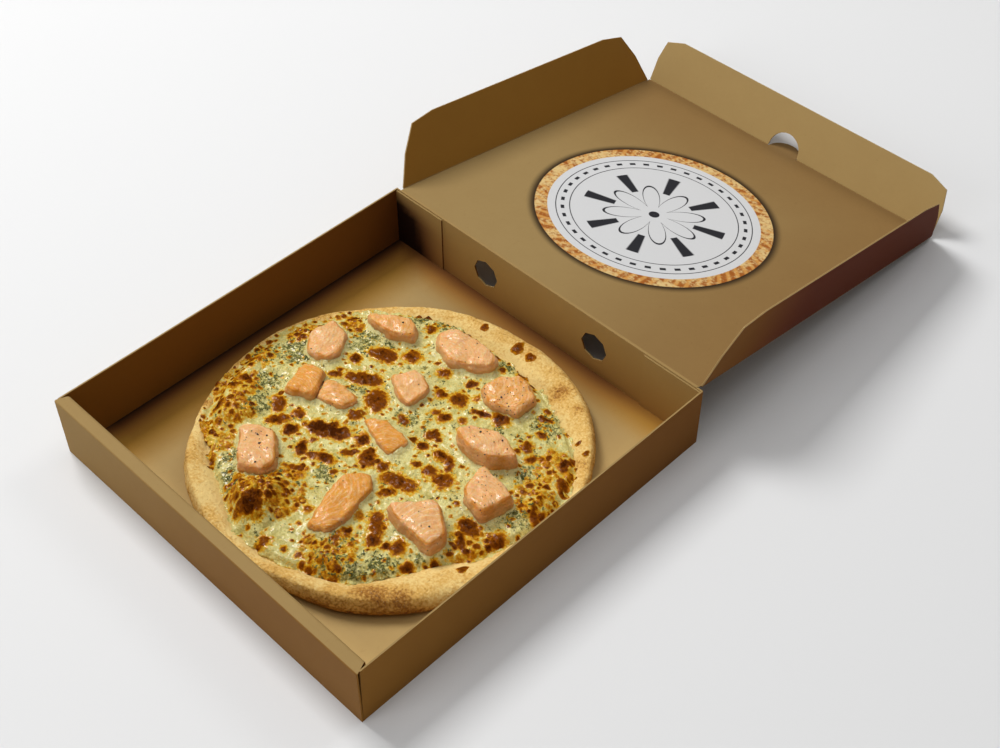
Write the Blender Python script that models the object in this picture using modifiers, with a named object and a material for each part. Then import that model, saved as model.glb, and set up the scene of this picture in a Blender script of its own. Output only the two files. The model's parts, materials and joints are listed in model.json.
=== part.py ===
"""A baked salmon and spinach pizza in an open corrugated-card takeaway box.

Frame: metres, +Z up. The origin is at the middle of the tray's underside. +X runs along the
lid's hinge and +Y from the tray's front wall to its back wall, where the lid is hinged. The lid
is folded right back, so that its printed inner face looks up, and rests on its thumb tongue.
"""

from math import asin, atan2, cos, exp, hypot, pi, radians, sin

import bmesh
import bpy
from mathutils import Vector

# Tray, outer sizes
TRAY_W = 0.321
TRAY_D = 0.330
TRAY_H = 0.055
BOARD = 0.0012
ROLL_W = 0.0107
ROLL_END_CUT = 0.0039
ROLL_RADIUS = 0.0026
CORNER_SLIT = 0.0016
TAB_LENGTH = 0.054
TAB_DROP = 0.001
VENT_X = 0.0578
VENT_Z = 0.0272
VENT_R = 0.0127

# Lid and its three flaps; the fold lines are on the printed face
LID_W = 0.312
LID_L = 0.3176
LID_AXIS_LIFT = 0.0003
LID_EDGE_LIFT = 0.0039
SIDE_FLAP_H = 0.0515
FRONT_FLAP_H = 0.045
LEFT_FOLD = radians(65)
RIGHT_FOLD = radians(81)
FRONT_FOLD = radians(75)
# Height above the fold and inset of each corner at the side flaps' two ends
FLAP_NEAR_END = ((0.026, 0.0100), (0.0475, 0.024), (SIDE_FLAP_H, 0.048))
FLAP_FAR_END = ((0.0265, 0.0115), (0.0475, 0.026), (SIDE_FLAP_H, 0.050))
NOTCH_X = -0.001
NOTCH_R = 0.0155
TONGUE_R = 0.0147
NOTCH_STRAIGHT = 0.0018
GAP = 0.0003

# Pizza
PIZZA_X = 0.0086
PIZZA_Y = -0.0003
PIZZA_R = 0.1468
RIM_W = 0.020
DOUGH_Z = BOARD + GAP
BASE_TOP = 0.0090
CREST_Z = 0.0185
CHEESE_Z = 0.0140
AROUND = 64
# Bare rim width at every 30 degrees, anticlockwise from +X
RIM_WIDTHS = (0.017, 0.012, 0.027, 0.027, 0.015, 0.008, 0.006, 0.006, 0.022, 0.015, 0.019, 0.032)
# How far the outline bulges: bearing and half width in degrees, then the amount
OUTLINE_BULGES = (
    (172, 16, 0.0028),
    (-127, 14, 0.0026),
    (-72, 12, -0.0036),
    (98, 18, -0.0032),
    (52, 20, 0.0026),
    (138, 20, -0.0030),
)
REACH_RIGHT = 0.1523
REACH_FRONT = -0.1458
# Swellings of the cheese: x, y, radius, height
MOUNDS = (
    (-0.014, -0.101, 0.0265, 0.0130),
    (-0.100, -0.056, 0.026, 0.0065),
    (-0.120, -0.020, 0.018, 0.0035),
    (0.058, -0.094, 0.024, 0.0060),
    (0.122, 0.026, 0.019, 0.0045),
    (-0.028, 0.120, 0.012, 0.0030),
)

# Salmon pieces: centre x and y, height above the cheese, then the corners of the top face from
# the centre. All in millimetres.
SALMON = (
    (-96, 31, 9, ((-15, 19), (6, 14), (15, -1), (14, -14), (-5, -18), (-15, -3))),
    (-70, 77, 12, ((-25, -6), (3, 12), (12, 12), (20, 1), (4, -9), (-15, -11))),
    (-12, 96, 12, ((-27, -1), (-22, 9), (3, 14), (22, 12), (27, 1), (16, -9), (-2, -17), (-19, -11))),
    (-75, -8, 11, ((-16, 11), (4, 15), (16, -8), (-4, -19))),
    (-50, 0, 8, ((-17, 4), (1, 9), (16, 6), (13, -7), (-8, -14))),
    (-16, 42, 9, ((-19, -1), (-9, 16), (13, 9), (13, -14), (0, -12))),
    (41, 87, 11, ((-17, -9), (-16, 4), (-5, 20), (20, 11), (20, -9), (-2, -17))),
    (3, -2, 7, ((-21, -1), (-8, 9), (18, 9), (19, -10), (-7, -6))),
    (66, 38, 17, ((-22, -6), (-18, 3), (-3, 12), (12, 13), (29, 6), (14, -9), (-2, -12), (-14, -10))),
    (-49, -76, 12, ((-26, 5), (-16, 13), (-2, 19), (22, -2), (19, -13), (4, -22))),
    (30, -68, 9, ((-18, 18), (-4, 34), (7, 24), (13, -9), (12, -23), (-1, -28), (-8, -12))),
    (86, -44, 15, ((-29, -3), (-5, 23), (21, 6), (20, -10), (9, -10), (-18, -8))),
    (97, 9, 16, ((-16, 14), (2, 12), (20, 8), (14, -19), (-8, -14), (-13, -2))),
)
SALMON_TOP_SHARE = 0.9
SALMON_CAGE = 1.05
SALMON_CREASE = 0.5

CARD = ("card", (0.36, 0.235, 0.095), 0.75)
CARD_INSIDE = ("card_inside", (0.40, 0.27, 0.12), 0.78)
BREAD = ("bread", (0.62, 0.36, 0.13), 0.85)
CHEESE = ("cheese", (0.66, 0.58, 0.28), 0.45)
FISH = ("fish", (0.80, 0.40, 0.22), 0.4)


def clear_scene():
    for obj in list(bpy.data.objects):
        bpy.data.objects.remove(obj, do_unlink=True)


def new_collection(name):
    collection = bpy.data.collections.new(name)
    bpy.context.scene.collection.children.link(collection)
    return collection


def material(kind):
    """A Principled material from a (name, colour, roughness) finish."""
    name, colour, roughness = kind
    mat = bpy.data.materials.get(name) or bpy.data.materials.new(name)
    mat.use_nodes = True
    shader = mat.node_tree.nodes["Principled BSDF"]
    shader.inputs["Base Color"].default_value = (*colour, 1.0)
    shader.inputs["Roughness"].default_value = roughness
    shader.inputs["Metallic"].default_value = 0.0
    return mat


def add_object(name, data, collection, finish=None, parent=None, location=(0, 0, 0)):
    obj = bpy.data.objects.new(name, data)
    obj.location = location
    obj.parent = parent
    collection.objects.link(obj)
    if finish:
        data.materials.append(material(finish))
    return obj


def box(name, low, high, collection):
    """A box between two corners."""
    bm = bmesh.new()
    bmesh.ops.create_cube(bm, size=1.0)
    low, high = Vector(low), Vector(high)
    bmesh.ops.scale(bm, vec=high - low, verts=bm.verts)
    bmesh.ops.translate(bm, vec=(low + high) / 2, verts=bm.verts)
    mesh = bpy.data.meshes.new(name)
    bm.to_mesh(mesh)
    bm.free()
    return add_object(name, mesh, collection)


def evaluated_mesh(obj):
    """A plain mesh of the object with its modifiers applied."""
    graph = bpy.context.evaluated_depsgraph_get()
    return bpy.data.meshes.new_from_object(obj.evaluated_get(graph), depsgraph=graph)


def combine(target, tools, operation):
    """Adds the tools to the target, or cuts them from it, and removes them."""
    for tool in tools:
        modifier = target.modifiers.new("combine", "BOOLEAN")
        modifier.operation = operation
        modifier.solver = "EXACT"
        modifier.object = tool
    old = target.data
    target.data = evaluated_mesh(target)
    target.modifiers.clear()
    bpy.data.meshes.remove(old)
    for tool in tools:
        bpy.data.objects.remove(tool, do_unlink=True)


def arc(centre_y, centre_z, radius, start, end, steps):
    """Points of an arc in the YZ plane, angles in degrees from +Y."""
    angles = [radians(start + (end - start) * i / steps) for i in range(steps + 1)]
    return [(centre_y + radius * cos(a), centre_z + radius * sin(a)) for a in angles]


def folded_front(collection):
    """The front wall: up the outside, over the top and down the inside, as one bent board."""
    y_out = -TRAY_D / 2
    y_in = y_out + ROLL_W
    outer_r = BOARD
    path = [(y_out, 0.0)]
    path += arc(y_out + outer_r, TRAY_H - outer_r, outer_r, 180, 90, 3)
    path += arc(y_in - ROLL_RADIUS, TRAY_H - ROLL_RADIUS, ROLL_RADIUS, 90, 0, 5)
    path += [(y_in, BOARD / 2)]

    bm = bmesh.new()
    rows = []
    for y, z in path:
        half = TRAY_W / 2 - ROLL_END_CUT * min(1.0, max(0.0, (y - y_out - BOARD) / (ROLL_W - BOARD)))
        rows.append([bm.verts.new((-half, y, z)), bm.verts.new((half, y, z))])
    for (a, b), (c, d) in zip(rows, rows[1:]):
        bm.faces.new((a, b, d, c))
    mesh = bpy.data.meshes.new("front_wall")
    bm.to_mesh(mesh)
    bm.free()
    wall = add_object("front_wall", mesh, collection)
    shell = wall.modifiers.new("board", "SOLIDIFY")
    shell.thickness = BOARD
    shell.offset = -1.0
    shell.use_even_offset = True
    return wall


def side_wall(name, side, collection):
    """A side wall, whose front edge leans back and leaves a slit beside the front wall."""
    x_in, x_out = side * (TRAY_W / 2 - BOARD), side * TRAY_W / 2
    y_front = -TRAY_D / 2 + BOARD + GAP / 2
    wall = box(name, (min(x_in, x_out), y_front, 0), (max(x_in, x_out), TRAY_D / 2, TRAY_H), collection)
    for vert in wall.data.vertices:
        if vert.co.y < 0 and vert.co.z > TRAY_H / 2:
            vert.co.y += CORNER_SLIT
    return wall


def make_tray(collection):
    """Base, four walls, the roll-over front and the two corner tabs inside the back wall."""
    half_w, half_d = TRAY_W / 2, TRAY_D / 2
    tray = box("tray", (-half_w, -half_d, 0), (half_w, half_d, BOARD), collection)
    walls = [side_wall("left_wall", -1, collection), side_wall("right_wall", 1, collection)]
    walls.append(box("back_wall", (-half_w, half_d - BOARD, 0), (half_w, half_d, TRAY_H), collection))
    for side in (-1, 1):
        ends = sorted((side * (half_w - TAB_LENGTH), side * (half_w - BOARD / 2)))
        low = (ends[0], half_d - 2 * BOARD, BOARD / 2)
        high = (ends[1], half_d - BOARD / 2, TRAY_H - TAB_DROP)
        walls.append(box("tab", low, high, collection))
    walls.append(folded_front(collection))
    combine(tray, walls, "UNION")
    combine(tray, [vent(side, collection) for side in (-1, 1)], "DIFFERENCE")
    tray.data.materials.clear()
    tray.data.materials.append(material(CARD))


def vent(side, collection):
    """The cutter for one eight-sided air hole in the back wall."""
    bm = bmesh.new()
    bmesh.ops.create_cone(bm, cap_ends=True, segments=8, radius1=VENT_R, radius2=VENT_R, depth=0.01)
    for vert in bm.verts:
        x, y, z = vert.co
        vert.co = (side * VENT_X + x, TRAY_D / 2 - z, VENT_Z + y)
    mesh = bpy.data.meshes.new("vent")
    bm.to_mesh(mesh)
    bm.free()
    return add_object("vent", mesh, collection)


def round_end(centre_x, radius, y0, y1, steps=12):
    """A U outline open at y0: straight sides up to y1, then a half circle."""
    points = [(centre_x - radius, y0)]
    for i in range(steps + 1):
        angle = pi - pi * i / steps
        points.append((centre_x + radius * cos(angle), y1 + radius * sin(angle)))
    return points + [(centre_x + radius, y0)]


def flat_board(name, outline, finish, collection, parent):
    """A flat board with its printed face in the parent's XY plane and its thickness below."""
    curve = bpy.data.curves.new(name, "CURVE")
    curve.dimensions = "2D"
    curve.fill_mode = "BOTH"
    curve.extrude = BOARD / 2
    spline = curve.splines.new("POLY")
    spline.points.add(len(outline) - 1)
    for point, (x, y) in zip(spline.points, outline):
        point.co = (x, y, 0.0, 1.0)
    spline.use_cyclic_u = True
    return add_object(name, curve, collection, finish, parent, (0, 0, -BOARD / 2))


def fold(name, collection, parent, location, axis, angle):
    """An empty on a fold line, turned by the fold's angle."""
    empty = add_object(name, None, collection, None, parent, location)
    empty.empty_display_size = 0.02
    empty.rotation_euler["XYZ".index(axis)] = angle
    return empty


def side_flap_outline(side):
    """A side flap whose ends slope in twice; x is its height, y runs along the fold."""
    corners = []
    for edge, inward, end in ((0.003, 1, FLAP_NEAR_END), (LID_L - 0.0025, -1, FLAP_FAR_END)):
        heights = ((GAP, 0.0), *end)
        corners.append([(side * height, edge + inward * inset) for height, inset in heights])
    return corners[0] + corners[1][::-1]


def front_flap_outline():
    """The front flap: sloped ends and a round thumb notch on the fold line."""
    half = LID_W / 2 - 0.0005
    insets = ((GAP, 0.0), (0.022, 0.0005), (0.039, 0.0045), (FRONT_FLAP_H, 0.022))
    right = [(half - inset, h) for h, inset in insets]
    left = [(-x, h) for x, h in reversed(right)]
    return right + left + round_end(NOTCH_X, NOTCH_R, GAP, NOTCH_STRAIGHT)


def make_lid(collection):
    """The lid panel with its thumb tongue, and the three flaps on their fold lines."""
    drop = TRAY_H + LID_AXIS_LIFT - LID_EDGE_LIFT
    place = (0, TRAY_D / 2, TRAY_H + LID_AXIS_LIFT)
    hinge = fold("lid_hinge", collection, None, place, "X", -asin(drop / LID_L))
    half = LID_W / 2 - GAP
    near, far = 2 * GAP, LID_L - GAP
    tongue = round_end(NOTCH_X, TONGUE_R, far, LID_L + NOTCH_STRAIGHT)
    outline = [(half, near), (half, far)] + list(reversed(tongue)) + [(-half, far), (-half, near)]
    flat_board("lid", outline, CARD_INSIDE, collection, hinge)

    left = fold("left_fold", collection, hinge, (-LID_W / 2, 0, 0), "Y", LEFT_FOLD)
    right = fold("right_fold", collection, hinge, (LID_W / 2, 0, 0), "Y", -RIGHT_FOLD)
    front = fold("front_fold", collection, hinge, (0, LID_L, 0), "X", FRONT_FOLD)
    flat_board("side_flap_left", side_flap_outline(-1), CARD_INSIDE, collection, left)
    flat_board("side_flap_right", side_flap_outline(1), CARD_INSIDE, collection, right)
    flat_board("front_flap", front_flap_outline(), CARD_INSIDE, collection, front)


def around(values, angle):
    """Smooth periodic reading of values given at equal steps of a full turn."""
    place = (angle / (2 * pi)) % 1.0 * len(values)
    i, t = int(place), place % 1.0
    a, b, c, d = (values[(i + k - 1) % len(values)] for k in range(4))
    return b + 0.5 * t * (c - a + t * (2 * a - 5 * b + 4 * c - d + t * (3 * (b - c) + d - a)))


def rim_radius(angle):
    """The pizza's outer radius: round with gentle bulges, flattened beside the right wall."""
    radius = PIZZA_R
    for bearing, width, amount in OUTLINE_BULGES:
        off = (angle - radians(bearing) + pi) % (2 * pi) - pi
        radius += amount * exp(-((off / radians(width)) ** 2))
    if cos(angle) > 0.5:
        radius = min(radius, (REACH_RIGHT - PIZZA_X) / cos(angle))
    if sin(angle) < -0.5:
        radius = min(radius, (REACH_FRONT - PIZZA_Y) / sin(angle))
    return radius


def turned(name, profile, collection, finish):
    """A solid turned about the pizza's axis from a half profile, top to bottom."""
    mesh = bpy.data.meshes.new(name)
    edges = [(i, i + 1) for i in range(len(profile) - 1)]
    mesh.from_pydata([(r, 0.0, z) for r, z in profile], edges, [])
    obj = add_object(name, mesh, collection)
    screw = obj.modifiers.new("turn", "SCREW")
    screw.steps = screw.render_steps = AROUND
    screw.use_merge_vertices = True
    screw.merge_threshold = 0.00001
    obj.data = evaluated_mesh(obj)
    obj.modifiers.clear()
    obj.location = (PIZZA_X, PIZZA_Y, 0)
    obj.data.materials.append(material(finish))
    return obj


def make_crust(collection):
    """The baked dough: a flat disc with a raised, uneven rim."""
    inner = PIZZA_R - RIM_W
    height = CREST_Z - BASE_TOP
    profile = [(0.0, BASE_TOP), (inner * 0.6, BASE_TOP), (inner, BASE_TOP)]
    for across, rise in ((0.12, 0.38), (0.28, 0.78), (0.48, 1.0), (0.68, 0.97), (0.84, 0.72), (0.95, 0.32)):
        profile.append((inner + RIM_W * across, BASE_TOP + height * rise))
    profile += [(PIZZA_R, 0.0085), (PIZZA_R - 0.0006, 0.005), (PIZZA_R - 0.0035, 0.0024)]
    profile += [(PIZZA_R - 0.008, DOUGH_Z), (inner * 0.6, DOUGH_Z), (0.0, DOUGH_Z)]
    crust = turned("crust", profile, collection, BREAD)
    for vert in crust.data.vertices:
        radius, angle = hypot(vert.co.x, vert.co.y), atan2(vert.co.y, vert.co.x)
        if radius < 1e-6:
            continue
        width = around(RIM_WIDTHS, angle)
        outer = rim_radius(angle)
        if radius <= inner + 1e-6:
            new_radius = radius * (outer - width) / inner
        else:
            new_radius = outer - width + (radius - inner) * width / RIM_W
        vert.co.x, vert.co.y = new_radius * cos(angle), new_radius * sin(angle)
        if vert.co.z > BASE_TOP + 1e-6:
            puff = 0.55 + 0.45 * min(1.0, width / 0.022) + 0.06 * sin(5 * angle + 1.0)
            vert.co.z = BASE_TOP + (vert.co.z - BASE_TOP) * puff
    shade(crust)


def footprint_mask(x, y):
    """0 under and close to a salmon piece, 1 well away from all of them."""
    mask = 1.0
    for centre_x, centre_y, _, corners in SALMON:
        reach = 0.001 * max(hypot(*corner) for corner in corners)
        away = hypot(x - centre_x / 1000, y - centre_y / 1000) / reach
        t = min(1.0, max(0.0, (away - 1.08) / 0.4))
        mask = min(mask, t * t * (3 - 2 * t))
    return mask


def cheese_rise(x, y):
    """How far the topping's mounds lift the cheese at a point of the box's frame."""
    rise = 0.0
    for centre_x, centre_y, radius, height in MOUNDS:
        t = max(0.0, 1.0 - (hypot(x - centre_x, y - centre_y) / radius) ** 2)
        rise = max(rise, height * t * t * (3 - 2 * t))
    return rise * footprint_mask(x, y)


def make_cheese(collection):
    """The melted topping inside the rim, with its browned mounds."""
    bottom, edge = BASE_TOP + GAP, PIZZA_R - RIM_W - 2 * GAP
    rings = 12
    profile = [(edge * i / rings, CHEESE_Z) for i in range(rings)]
    profile += [(edge * 0.985, CHEESE_Z - 0.0009), (edge, CHEESE_Z - 0.0026)]
    profile += [(edge, bottom), (edge * 0.5, bottom), (0.0, bottom)]
    cheese = turned("cheese", profile, collection, CHEESE)
    for vert in cheese.data.vertices:
        radius, angle = hypot(vert.co.x, vert.co.y), atan2(vert.co.y, vert.co.x)
        if radius > 1e-6:
            reach = rim_radius(angle) - around(RIM_WIDTHS, angle) - 2 * GAP
            radius = radius * reach / edge
            vert.co.x, vert.co.y = radius * cos(angle), radius * sin(angle)
        if vert.co.z > CHEESE_Z - 1e-6:
            vert.co.z += cheese_rise(vert.co.x + PIZZA_X, vert.co.y + PIZZA_Y)
    shade(cheese)


def shade(obj):
    obj.data.shade_smooth()
    obj.data.set_sharp_from_angle(angle=radians(50))


def make_salmon(number, centre_x, centre_y, height, corners, collection):
    """One chunk of salmon: a flat-bottomed block with rounded top edges."""
    bm = bmesh.new()
    rings = []
    for share, z in ((0.96, 0.0), (1.0, 0.45 * height), (SALMON_TOP_SHARE, height * 1.05)):
        scale = share * SALMON_CAGE / 1000
        rings.append([bm.verts.new((x * scale, y * scale, z / 1000)) for x, y in corners])
    for low, high in zip(rings, rings[1:]):
        for i in range(len(corners)):
            j = (i + 1) % len(corners)
            bm.faces.new((low[i], low[j], high[j], high[i]))
    bm.faces.new(rings[0])
    bm.faces.new(rings[-1])
    bmesh.ops.recalc_face_normals(bm, faces=bm.faces)
    crease = bm.edges.layers.float.new("crease_edge")
    for edge in bm.edges:
        edge[crease] = 1.0 if all(vert in rings[0] for vert in edge.verts) else SALMON_CREASE
    mesh = bpy.data.meshes.new("salmon")
    bm.to_mesh(mesh)
    bm.free()
    place = (centre_x / 1000, centre_y / 1000, CHEESE_Z + GAP)
    chunk = add_object(f"salmon_{number:02d}", mesh, collection, FISH, None, place)
    smooth = chunk.modifiers.new("round", "SUBSURF")
    smooth.levels = smooth.render_levels = 2
    mesh.shade_smooth()


def main():
    clear_scene()
    collection = new_collection("pizza_in_box")
    make_tray(collection)
    make_lid(collection)
    make_crust(collection)
    make_cheese(collection)
    for number, (centre_x, centre_y, height, corners) in enumerate(SALMON, 1):
        make_salmon(number, centre_x, centre_y, height, corners, collection)


main()
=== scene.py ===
"""A baked salmon and spinach pizza in its open card box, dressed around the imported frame.

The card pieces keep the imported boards' shapes, with eased edges, and every crease is a strip that
bends with its fold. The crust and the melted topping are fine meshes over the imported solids, with
their browning, spinach and gloss kept as mesh attributes that the materials read.
"""

import json
import logging
import math
from dataclasses import dataclass, field
from enum import Enum
from typing import Callable, Iterable, Sequence

import bmesh
import bpy
import numpy as np
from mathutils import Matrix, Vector
from mathutils.bvhtree import BVHTree

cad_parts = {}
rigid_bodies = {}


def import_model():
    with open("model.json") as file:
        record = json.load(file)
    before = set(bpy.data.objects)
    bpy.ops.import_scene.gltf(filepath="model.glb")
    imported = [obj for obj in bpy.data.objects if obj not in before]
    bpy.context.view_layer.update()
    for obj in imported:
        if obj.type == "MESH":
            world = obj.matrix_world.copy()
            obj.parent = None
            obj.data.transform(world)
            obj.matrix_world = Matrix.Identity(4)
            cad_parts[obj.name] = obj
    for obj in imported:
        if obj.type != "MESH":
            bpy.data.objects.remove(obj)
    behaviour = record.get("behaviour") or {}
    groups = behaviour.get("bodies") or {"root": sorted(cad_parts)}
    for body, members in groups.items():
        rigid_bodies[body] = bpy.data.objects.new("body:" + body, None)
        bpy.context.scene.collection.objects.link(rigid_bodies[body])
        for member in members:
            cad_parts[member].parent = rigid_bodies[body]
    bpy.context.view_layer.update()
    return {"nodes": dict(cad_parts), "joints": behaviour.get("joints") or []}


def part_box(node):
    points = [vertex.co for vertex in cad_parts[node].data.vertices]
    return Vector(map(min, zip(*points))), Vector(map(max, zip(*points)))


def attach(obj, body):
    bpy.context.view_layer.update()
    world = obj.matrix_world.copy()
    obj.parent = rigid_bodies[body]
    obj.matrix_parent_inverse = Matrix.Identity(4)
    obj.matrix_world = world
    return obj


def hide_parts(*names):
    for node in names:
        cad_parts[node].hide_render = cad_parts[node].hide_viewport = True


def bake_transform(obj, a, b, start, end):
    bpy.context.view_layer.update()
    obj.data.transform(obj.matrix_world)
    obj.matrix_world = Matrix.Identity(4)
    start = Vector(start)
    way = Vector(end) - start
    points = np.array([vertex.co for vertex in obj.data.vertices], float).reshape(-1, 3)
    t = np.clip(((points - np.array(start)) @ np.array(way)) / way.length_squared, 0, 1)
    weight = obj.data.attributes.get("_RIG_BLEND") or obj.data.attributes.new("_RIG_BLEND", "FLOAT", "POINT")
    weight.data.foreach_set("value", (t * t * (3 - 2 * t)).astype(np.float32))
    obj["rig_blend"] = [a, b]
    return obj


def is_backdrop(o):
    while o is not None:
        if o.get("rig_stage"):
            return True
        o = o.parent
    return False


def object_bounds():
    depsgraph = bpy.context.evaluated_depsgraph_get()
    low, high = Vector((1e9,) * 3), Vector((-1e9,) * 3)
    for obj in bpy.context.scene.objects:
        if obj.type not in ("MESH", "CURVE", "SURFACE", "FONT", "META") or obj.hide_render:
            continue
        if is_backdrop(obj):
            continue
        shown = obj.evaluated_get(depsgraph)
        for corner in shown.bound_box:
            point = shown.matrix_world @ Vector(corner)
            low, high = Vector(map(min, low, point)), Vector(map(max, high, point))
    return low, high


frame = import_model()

log = logging.getLogger("pizza_box")

MM = 0.001
BOARD = 1.2 * MM
TURN = 2 * math.pi
# where rays start, over everything in the tray, and their way
OVERHEAD, DOWN = 0.08, Vector((0, 0, -1))
Colour = tuple[float, float, float]
Faces = list[tuple[int, ...]]


# ---------------------------------------------------------------- small helpers


def smooth(values: np.ndarray, low: float, high: float) -> np.ndarray:
    """Eased ramp from 0 at low to 1 at high."""
    t = np.clip((values - low) / (high - low), 0.0, 1.0)
    return t * t * (3 - 2 * t)


def dome(distance: np.ndarray) -> np.ndarray:
    """A round swelling: 1 at distance 0, falling to 0 at distance 1."""
    return np.clip(1 - distance * distance, 0.0, 1.0) ** 2


def through(knots: Sequence[float], values: Sequence[float], at: np.ndarray) -> np.ndarray:
    """A smooth curve through a few values.

    Args:
        knots: Rising places of the values.
        values: The values there.
        at: Where the curve is read.

    Returns:
        The curve's values, with each slope set by its two neighbours.
    """
    x, y = np.asarray(knots, float), np.asarray(values, float)
    slope = np.gradient(y, x)
    i = np.clip(np.searchsorted(x, at) - 1, 0, len(x) - 2)
    step = x[i + 1] - x[i]
    t = np.clip((at - x[i]) / step, 0.0, 1.0)
    return (
        y[i] * (1 + 2 * t) * (1 - t) ** 2
        + slope[i] * step * t * (1 - t) ** 2
        + y[i + 1] * t * t * (3 - 2 * t)
        + slope[i + 1] * step * t * t * (t - 1)
    )


class Noise:
    """Seeded gradient noise in three dimensions, about -1 to 1."""

    cells: int = 256
    gain: float = 1.6

    def __init__(self, seed: int) -> None:
        """Draws the lattice's gradients.

        Args:
            seed: Makes this noise unlike the others, and the same each run.
        """
        rng = np.random.default_rng(seed)
        self.order = rng.permutation(self.cells)
        gradients = rng.normal(size=(self.cells, 3))
        self.gradients = gradients / np.linalg.norm(gradients, axis=1, keepdims=True)

    def at(self, points: np.ndarray, size: float) -> np.ndarray:
        """Noise at the points, with features about as large as size."""
        scaled = points / size
        cell = np.floor(scaled).astype(int)
        inside = scaled - cell
        ease = inside**3 * (inside * (inside * 6 - 15) + 10)
        total = np.zeros(len(points))
        for corner in np.ndindex(2, 2, 2):
            step = np.array(corner)
            place = (cell + step) % self.cells
            index = self.order[place[:, 0]]
            for along in (place[:, 1], place[:, 2]):
                index = self.order[(index + along) % self.cells]
            weight = np.where(step, ease, 1 - ease).prod(axis=1)
            total += weight * (self.gradients[index] * (inside - step)).sum(axis=1)
        return total * self.gain

    def layers(self, points: np.ndarray, size: float, octaves: int = 3) -> np.ndarray:
        """Several sizes of noise on each other, each half as large and half as strong."""
        return sum(self.at(points, size / 2**k) / 2**k for k in range(octaves))


def flat_noise(noise: Noise, x: np.ndarray, y: np.ndarray, size: float, octaves: int = 3) -> np.ndarray:
    """Layered noise over a plan view."""
    return noise.layers(np.column_stack([x, y, np.zeros_like(x)]), size, octaves)


def aside(centre: Sequence[float], away: float, turn: float) -> tuple[float, float]:
    """The place at a distance and a bearing from another."""
    return centre[0] + away * math.cos(turn), centre[1] + away * math.sin(turn)


def add_object(name: str, data: bpy.types.ID) -> bpy.types.Object:
    """Makes an object and links it to the scene."""
    made = bpy.data.objects.new(name, data)
    bpy.context.scene.collection.objects.link(made)
    return made


def new_piece(name: str, vertices: np.ndarray, faces: Iterable[Sequence[int]]) -> bpy.types.Object:
    """Makes a mesh object.

    Args:
        name: The piece's name.
        vertices: Points in metres, one row each.
        faces: Corner numbers of each face.

    Returns:
        The new object, shaded smooth.
    """
    mesh = bpy.data.meshes.new(name)
    mesh.from_pydata(np.asarray(vertices).tolist(), [], [tuple(map(int, f)) for f in faces])
    mesh.validate()
    mesh.shade_smooth()
    return add_object(name, mesh)


def band(a: int, b: int, count: int) -> Faces:
    """Quads between two closed rings of vertices, which start at a and b."""
    return [(a + k, b + k, b + (k + 1) % count, a + (k + 1) % count) for k in range(count)]


def fan(tip: int, ring: int, count: int) -> Faces:
    """Triangles from one vertex to a closed ring."""
    return [(tip, ring + k, ring + (k + 1) % count) for k in range(count)]


def turned(faces: Faces) -> Faces:
    """The same faces, facing the other way."""
    return [face[::-1] for face in faces]


def tag(piece: bpy.types.Object, name: str, values: np.ndarray, domain: str = "POINT") -> None:
    """Stores a number or a vector for each vertex or face corner, for a material to read."""
    values = np.asarray(values, np.float32)
    kind, key = ("FLOAT", "value") if values.ndim == 1 else ("FLOAT_VECTOR", "vector")
    piece.data.attributes.new(name, kind, domain).data.foreach_set(key, values.ravel())


def face_outward(piece: bpy.types.Object) -> None:
    """Turns a closed piece's faces outward."""
    bm = bmesh.new()
    bm.from_mesh(piece.data)
    bmesh.ops.recalc_face_normals(bm, faces=bm.faces)
    bm.to_mesh(piece.data)
    bm.free()


def points_of(piece: bpy.types.Object, rows: str = "vertices", key: str = "co") -> np.ndarray:
    """The piece's vertices, or another list of its mesh's, one row each."""
    data = getattr(piece.data, rows)
    flat = np.empty(len(data) * 3)
    data.foreach_get(key, flat)
    return flat.reshape(-1, 3)


def normals_of(piece: bpy.types.Object) -> np.ndarray:
    """The piece's vertex normals, one row each."""
    return points_of(piece, "vertex_normals", "vector")


def place_points(piece: bpy.types.Object, points: np.ndarray) -> None:
    """Moves the piece's vertices."""
    piece.data.vertices.foreach_set("co", np.asarray(points, np.float32).ravel())
    piece.data.update()


def tree_over(meshes: Iterable[bpy.types.Mesh], most: float = math.inf) -> BVHTree:
    """A search tree over some meshes' faces, leaving out those with more corners than most."""
    vertices, faces = [], []
    for mesh in meshes:
        shift = len(vertices)
        vertices += [v.co for v in mesh.vertices]
        faces += [tuple(i + shift for i in p.vertices) for p in mesh.polygons if len(p.vertices) <= most]
    return BVHTree.FromPolygons(vertices, faces)


def dress(piece: bpy.types.Object, material: bpy.types.Material, body: str, slot: str, *nodes: str) -> None:
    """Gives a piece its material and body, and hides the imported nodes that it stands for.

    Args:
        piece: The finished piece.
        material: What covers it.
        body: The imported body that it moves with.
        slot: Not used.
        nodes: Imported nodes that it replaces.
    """
    piece.data.materials.clear()
    piece.data.materials.append(material)
    if nodes:
        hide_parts(*nodes)
    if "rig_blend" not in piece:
        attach(piece, body)
    log.info("%s: %d faces on %s", piece.name, len(piece.data.polygons), body)


# ---------------------------------------------------------------- node trees


class Value:
    """An output in a node tree. Reckoning with it adds arithmetic nodes."""

    def __init__(self, graph: "Graph", socket: bpy.types.NodeSocket) -> None:
        """Takes the graph and the output."""
        self.graph, self.socket = graph, socket

    def __add__(self, other: object) -> "Value":
        """The sum."""
        return self.graph.math("ADD", self, other)

    def __sub__(self, other: object) -> "Value":
        """The difference."""
        return self.graph.math("SUBTRACT", self, other)

    def __rsub__(self, other: object) -> "Value":
        """The difference from a number."""
        return self.graph.math("SUBTRACT", other, self)

    def __mul__(self, other: object) -> "Value":
        """The product."""
        return self.graph.math("MULTIPLY", self, other)


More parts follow.
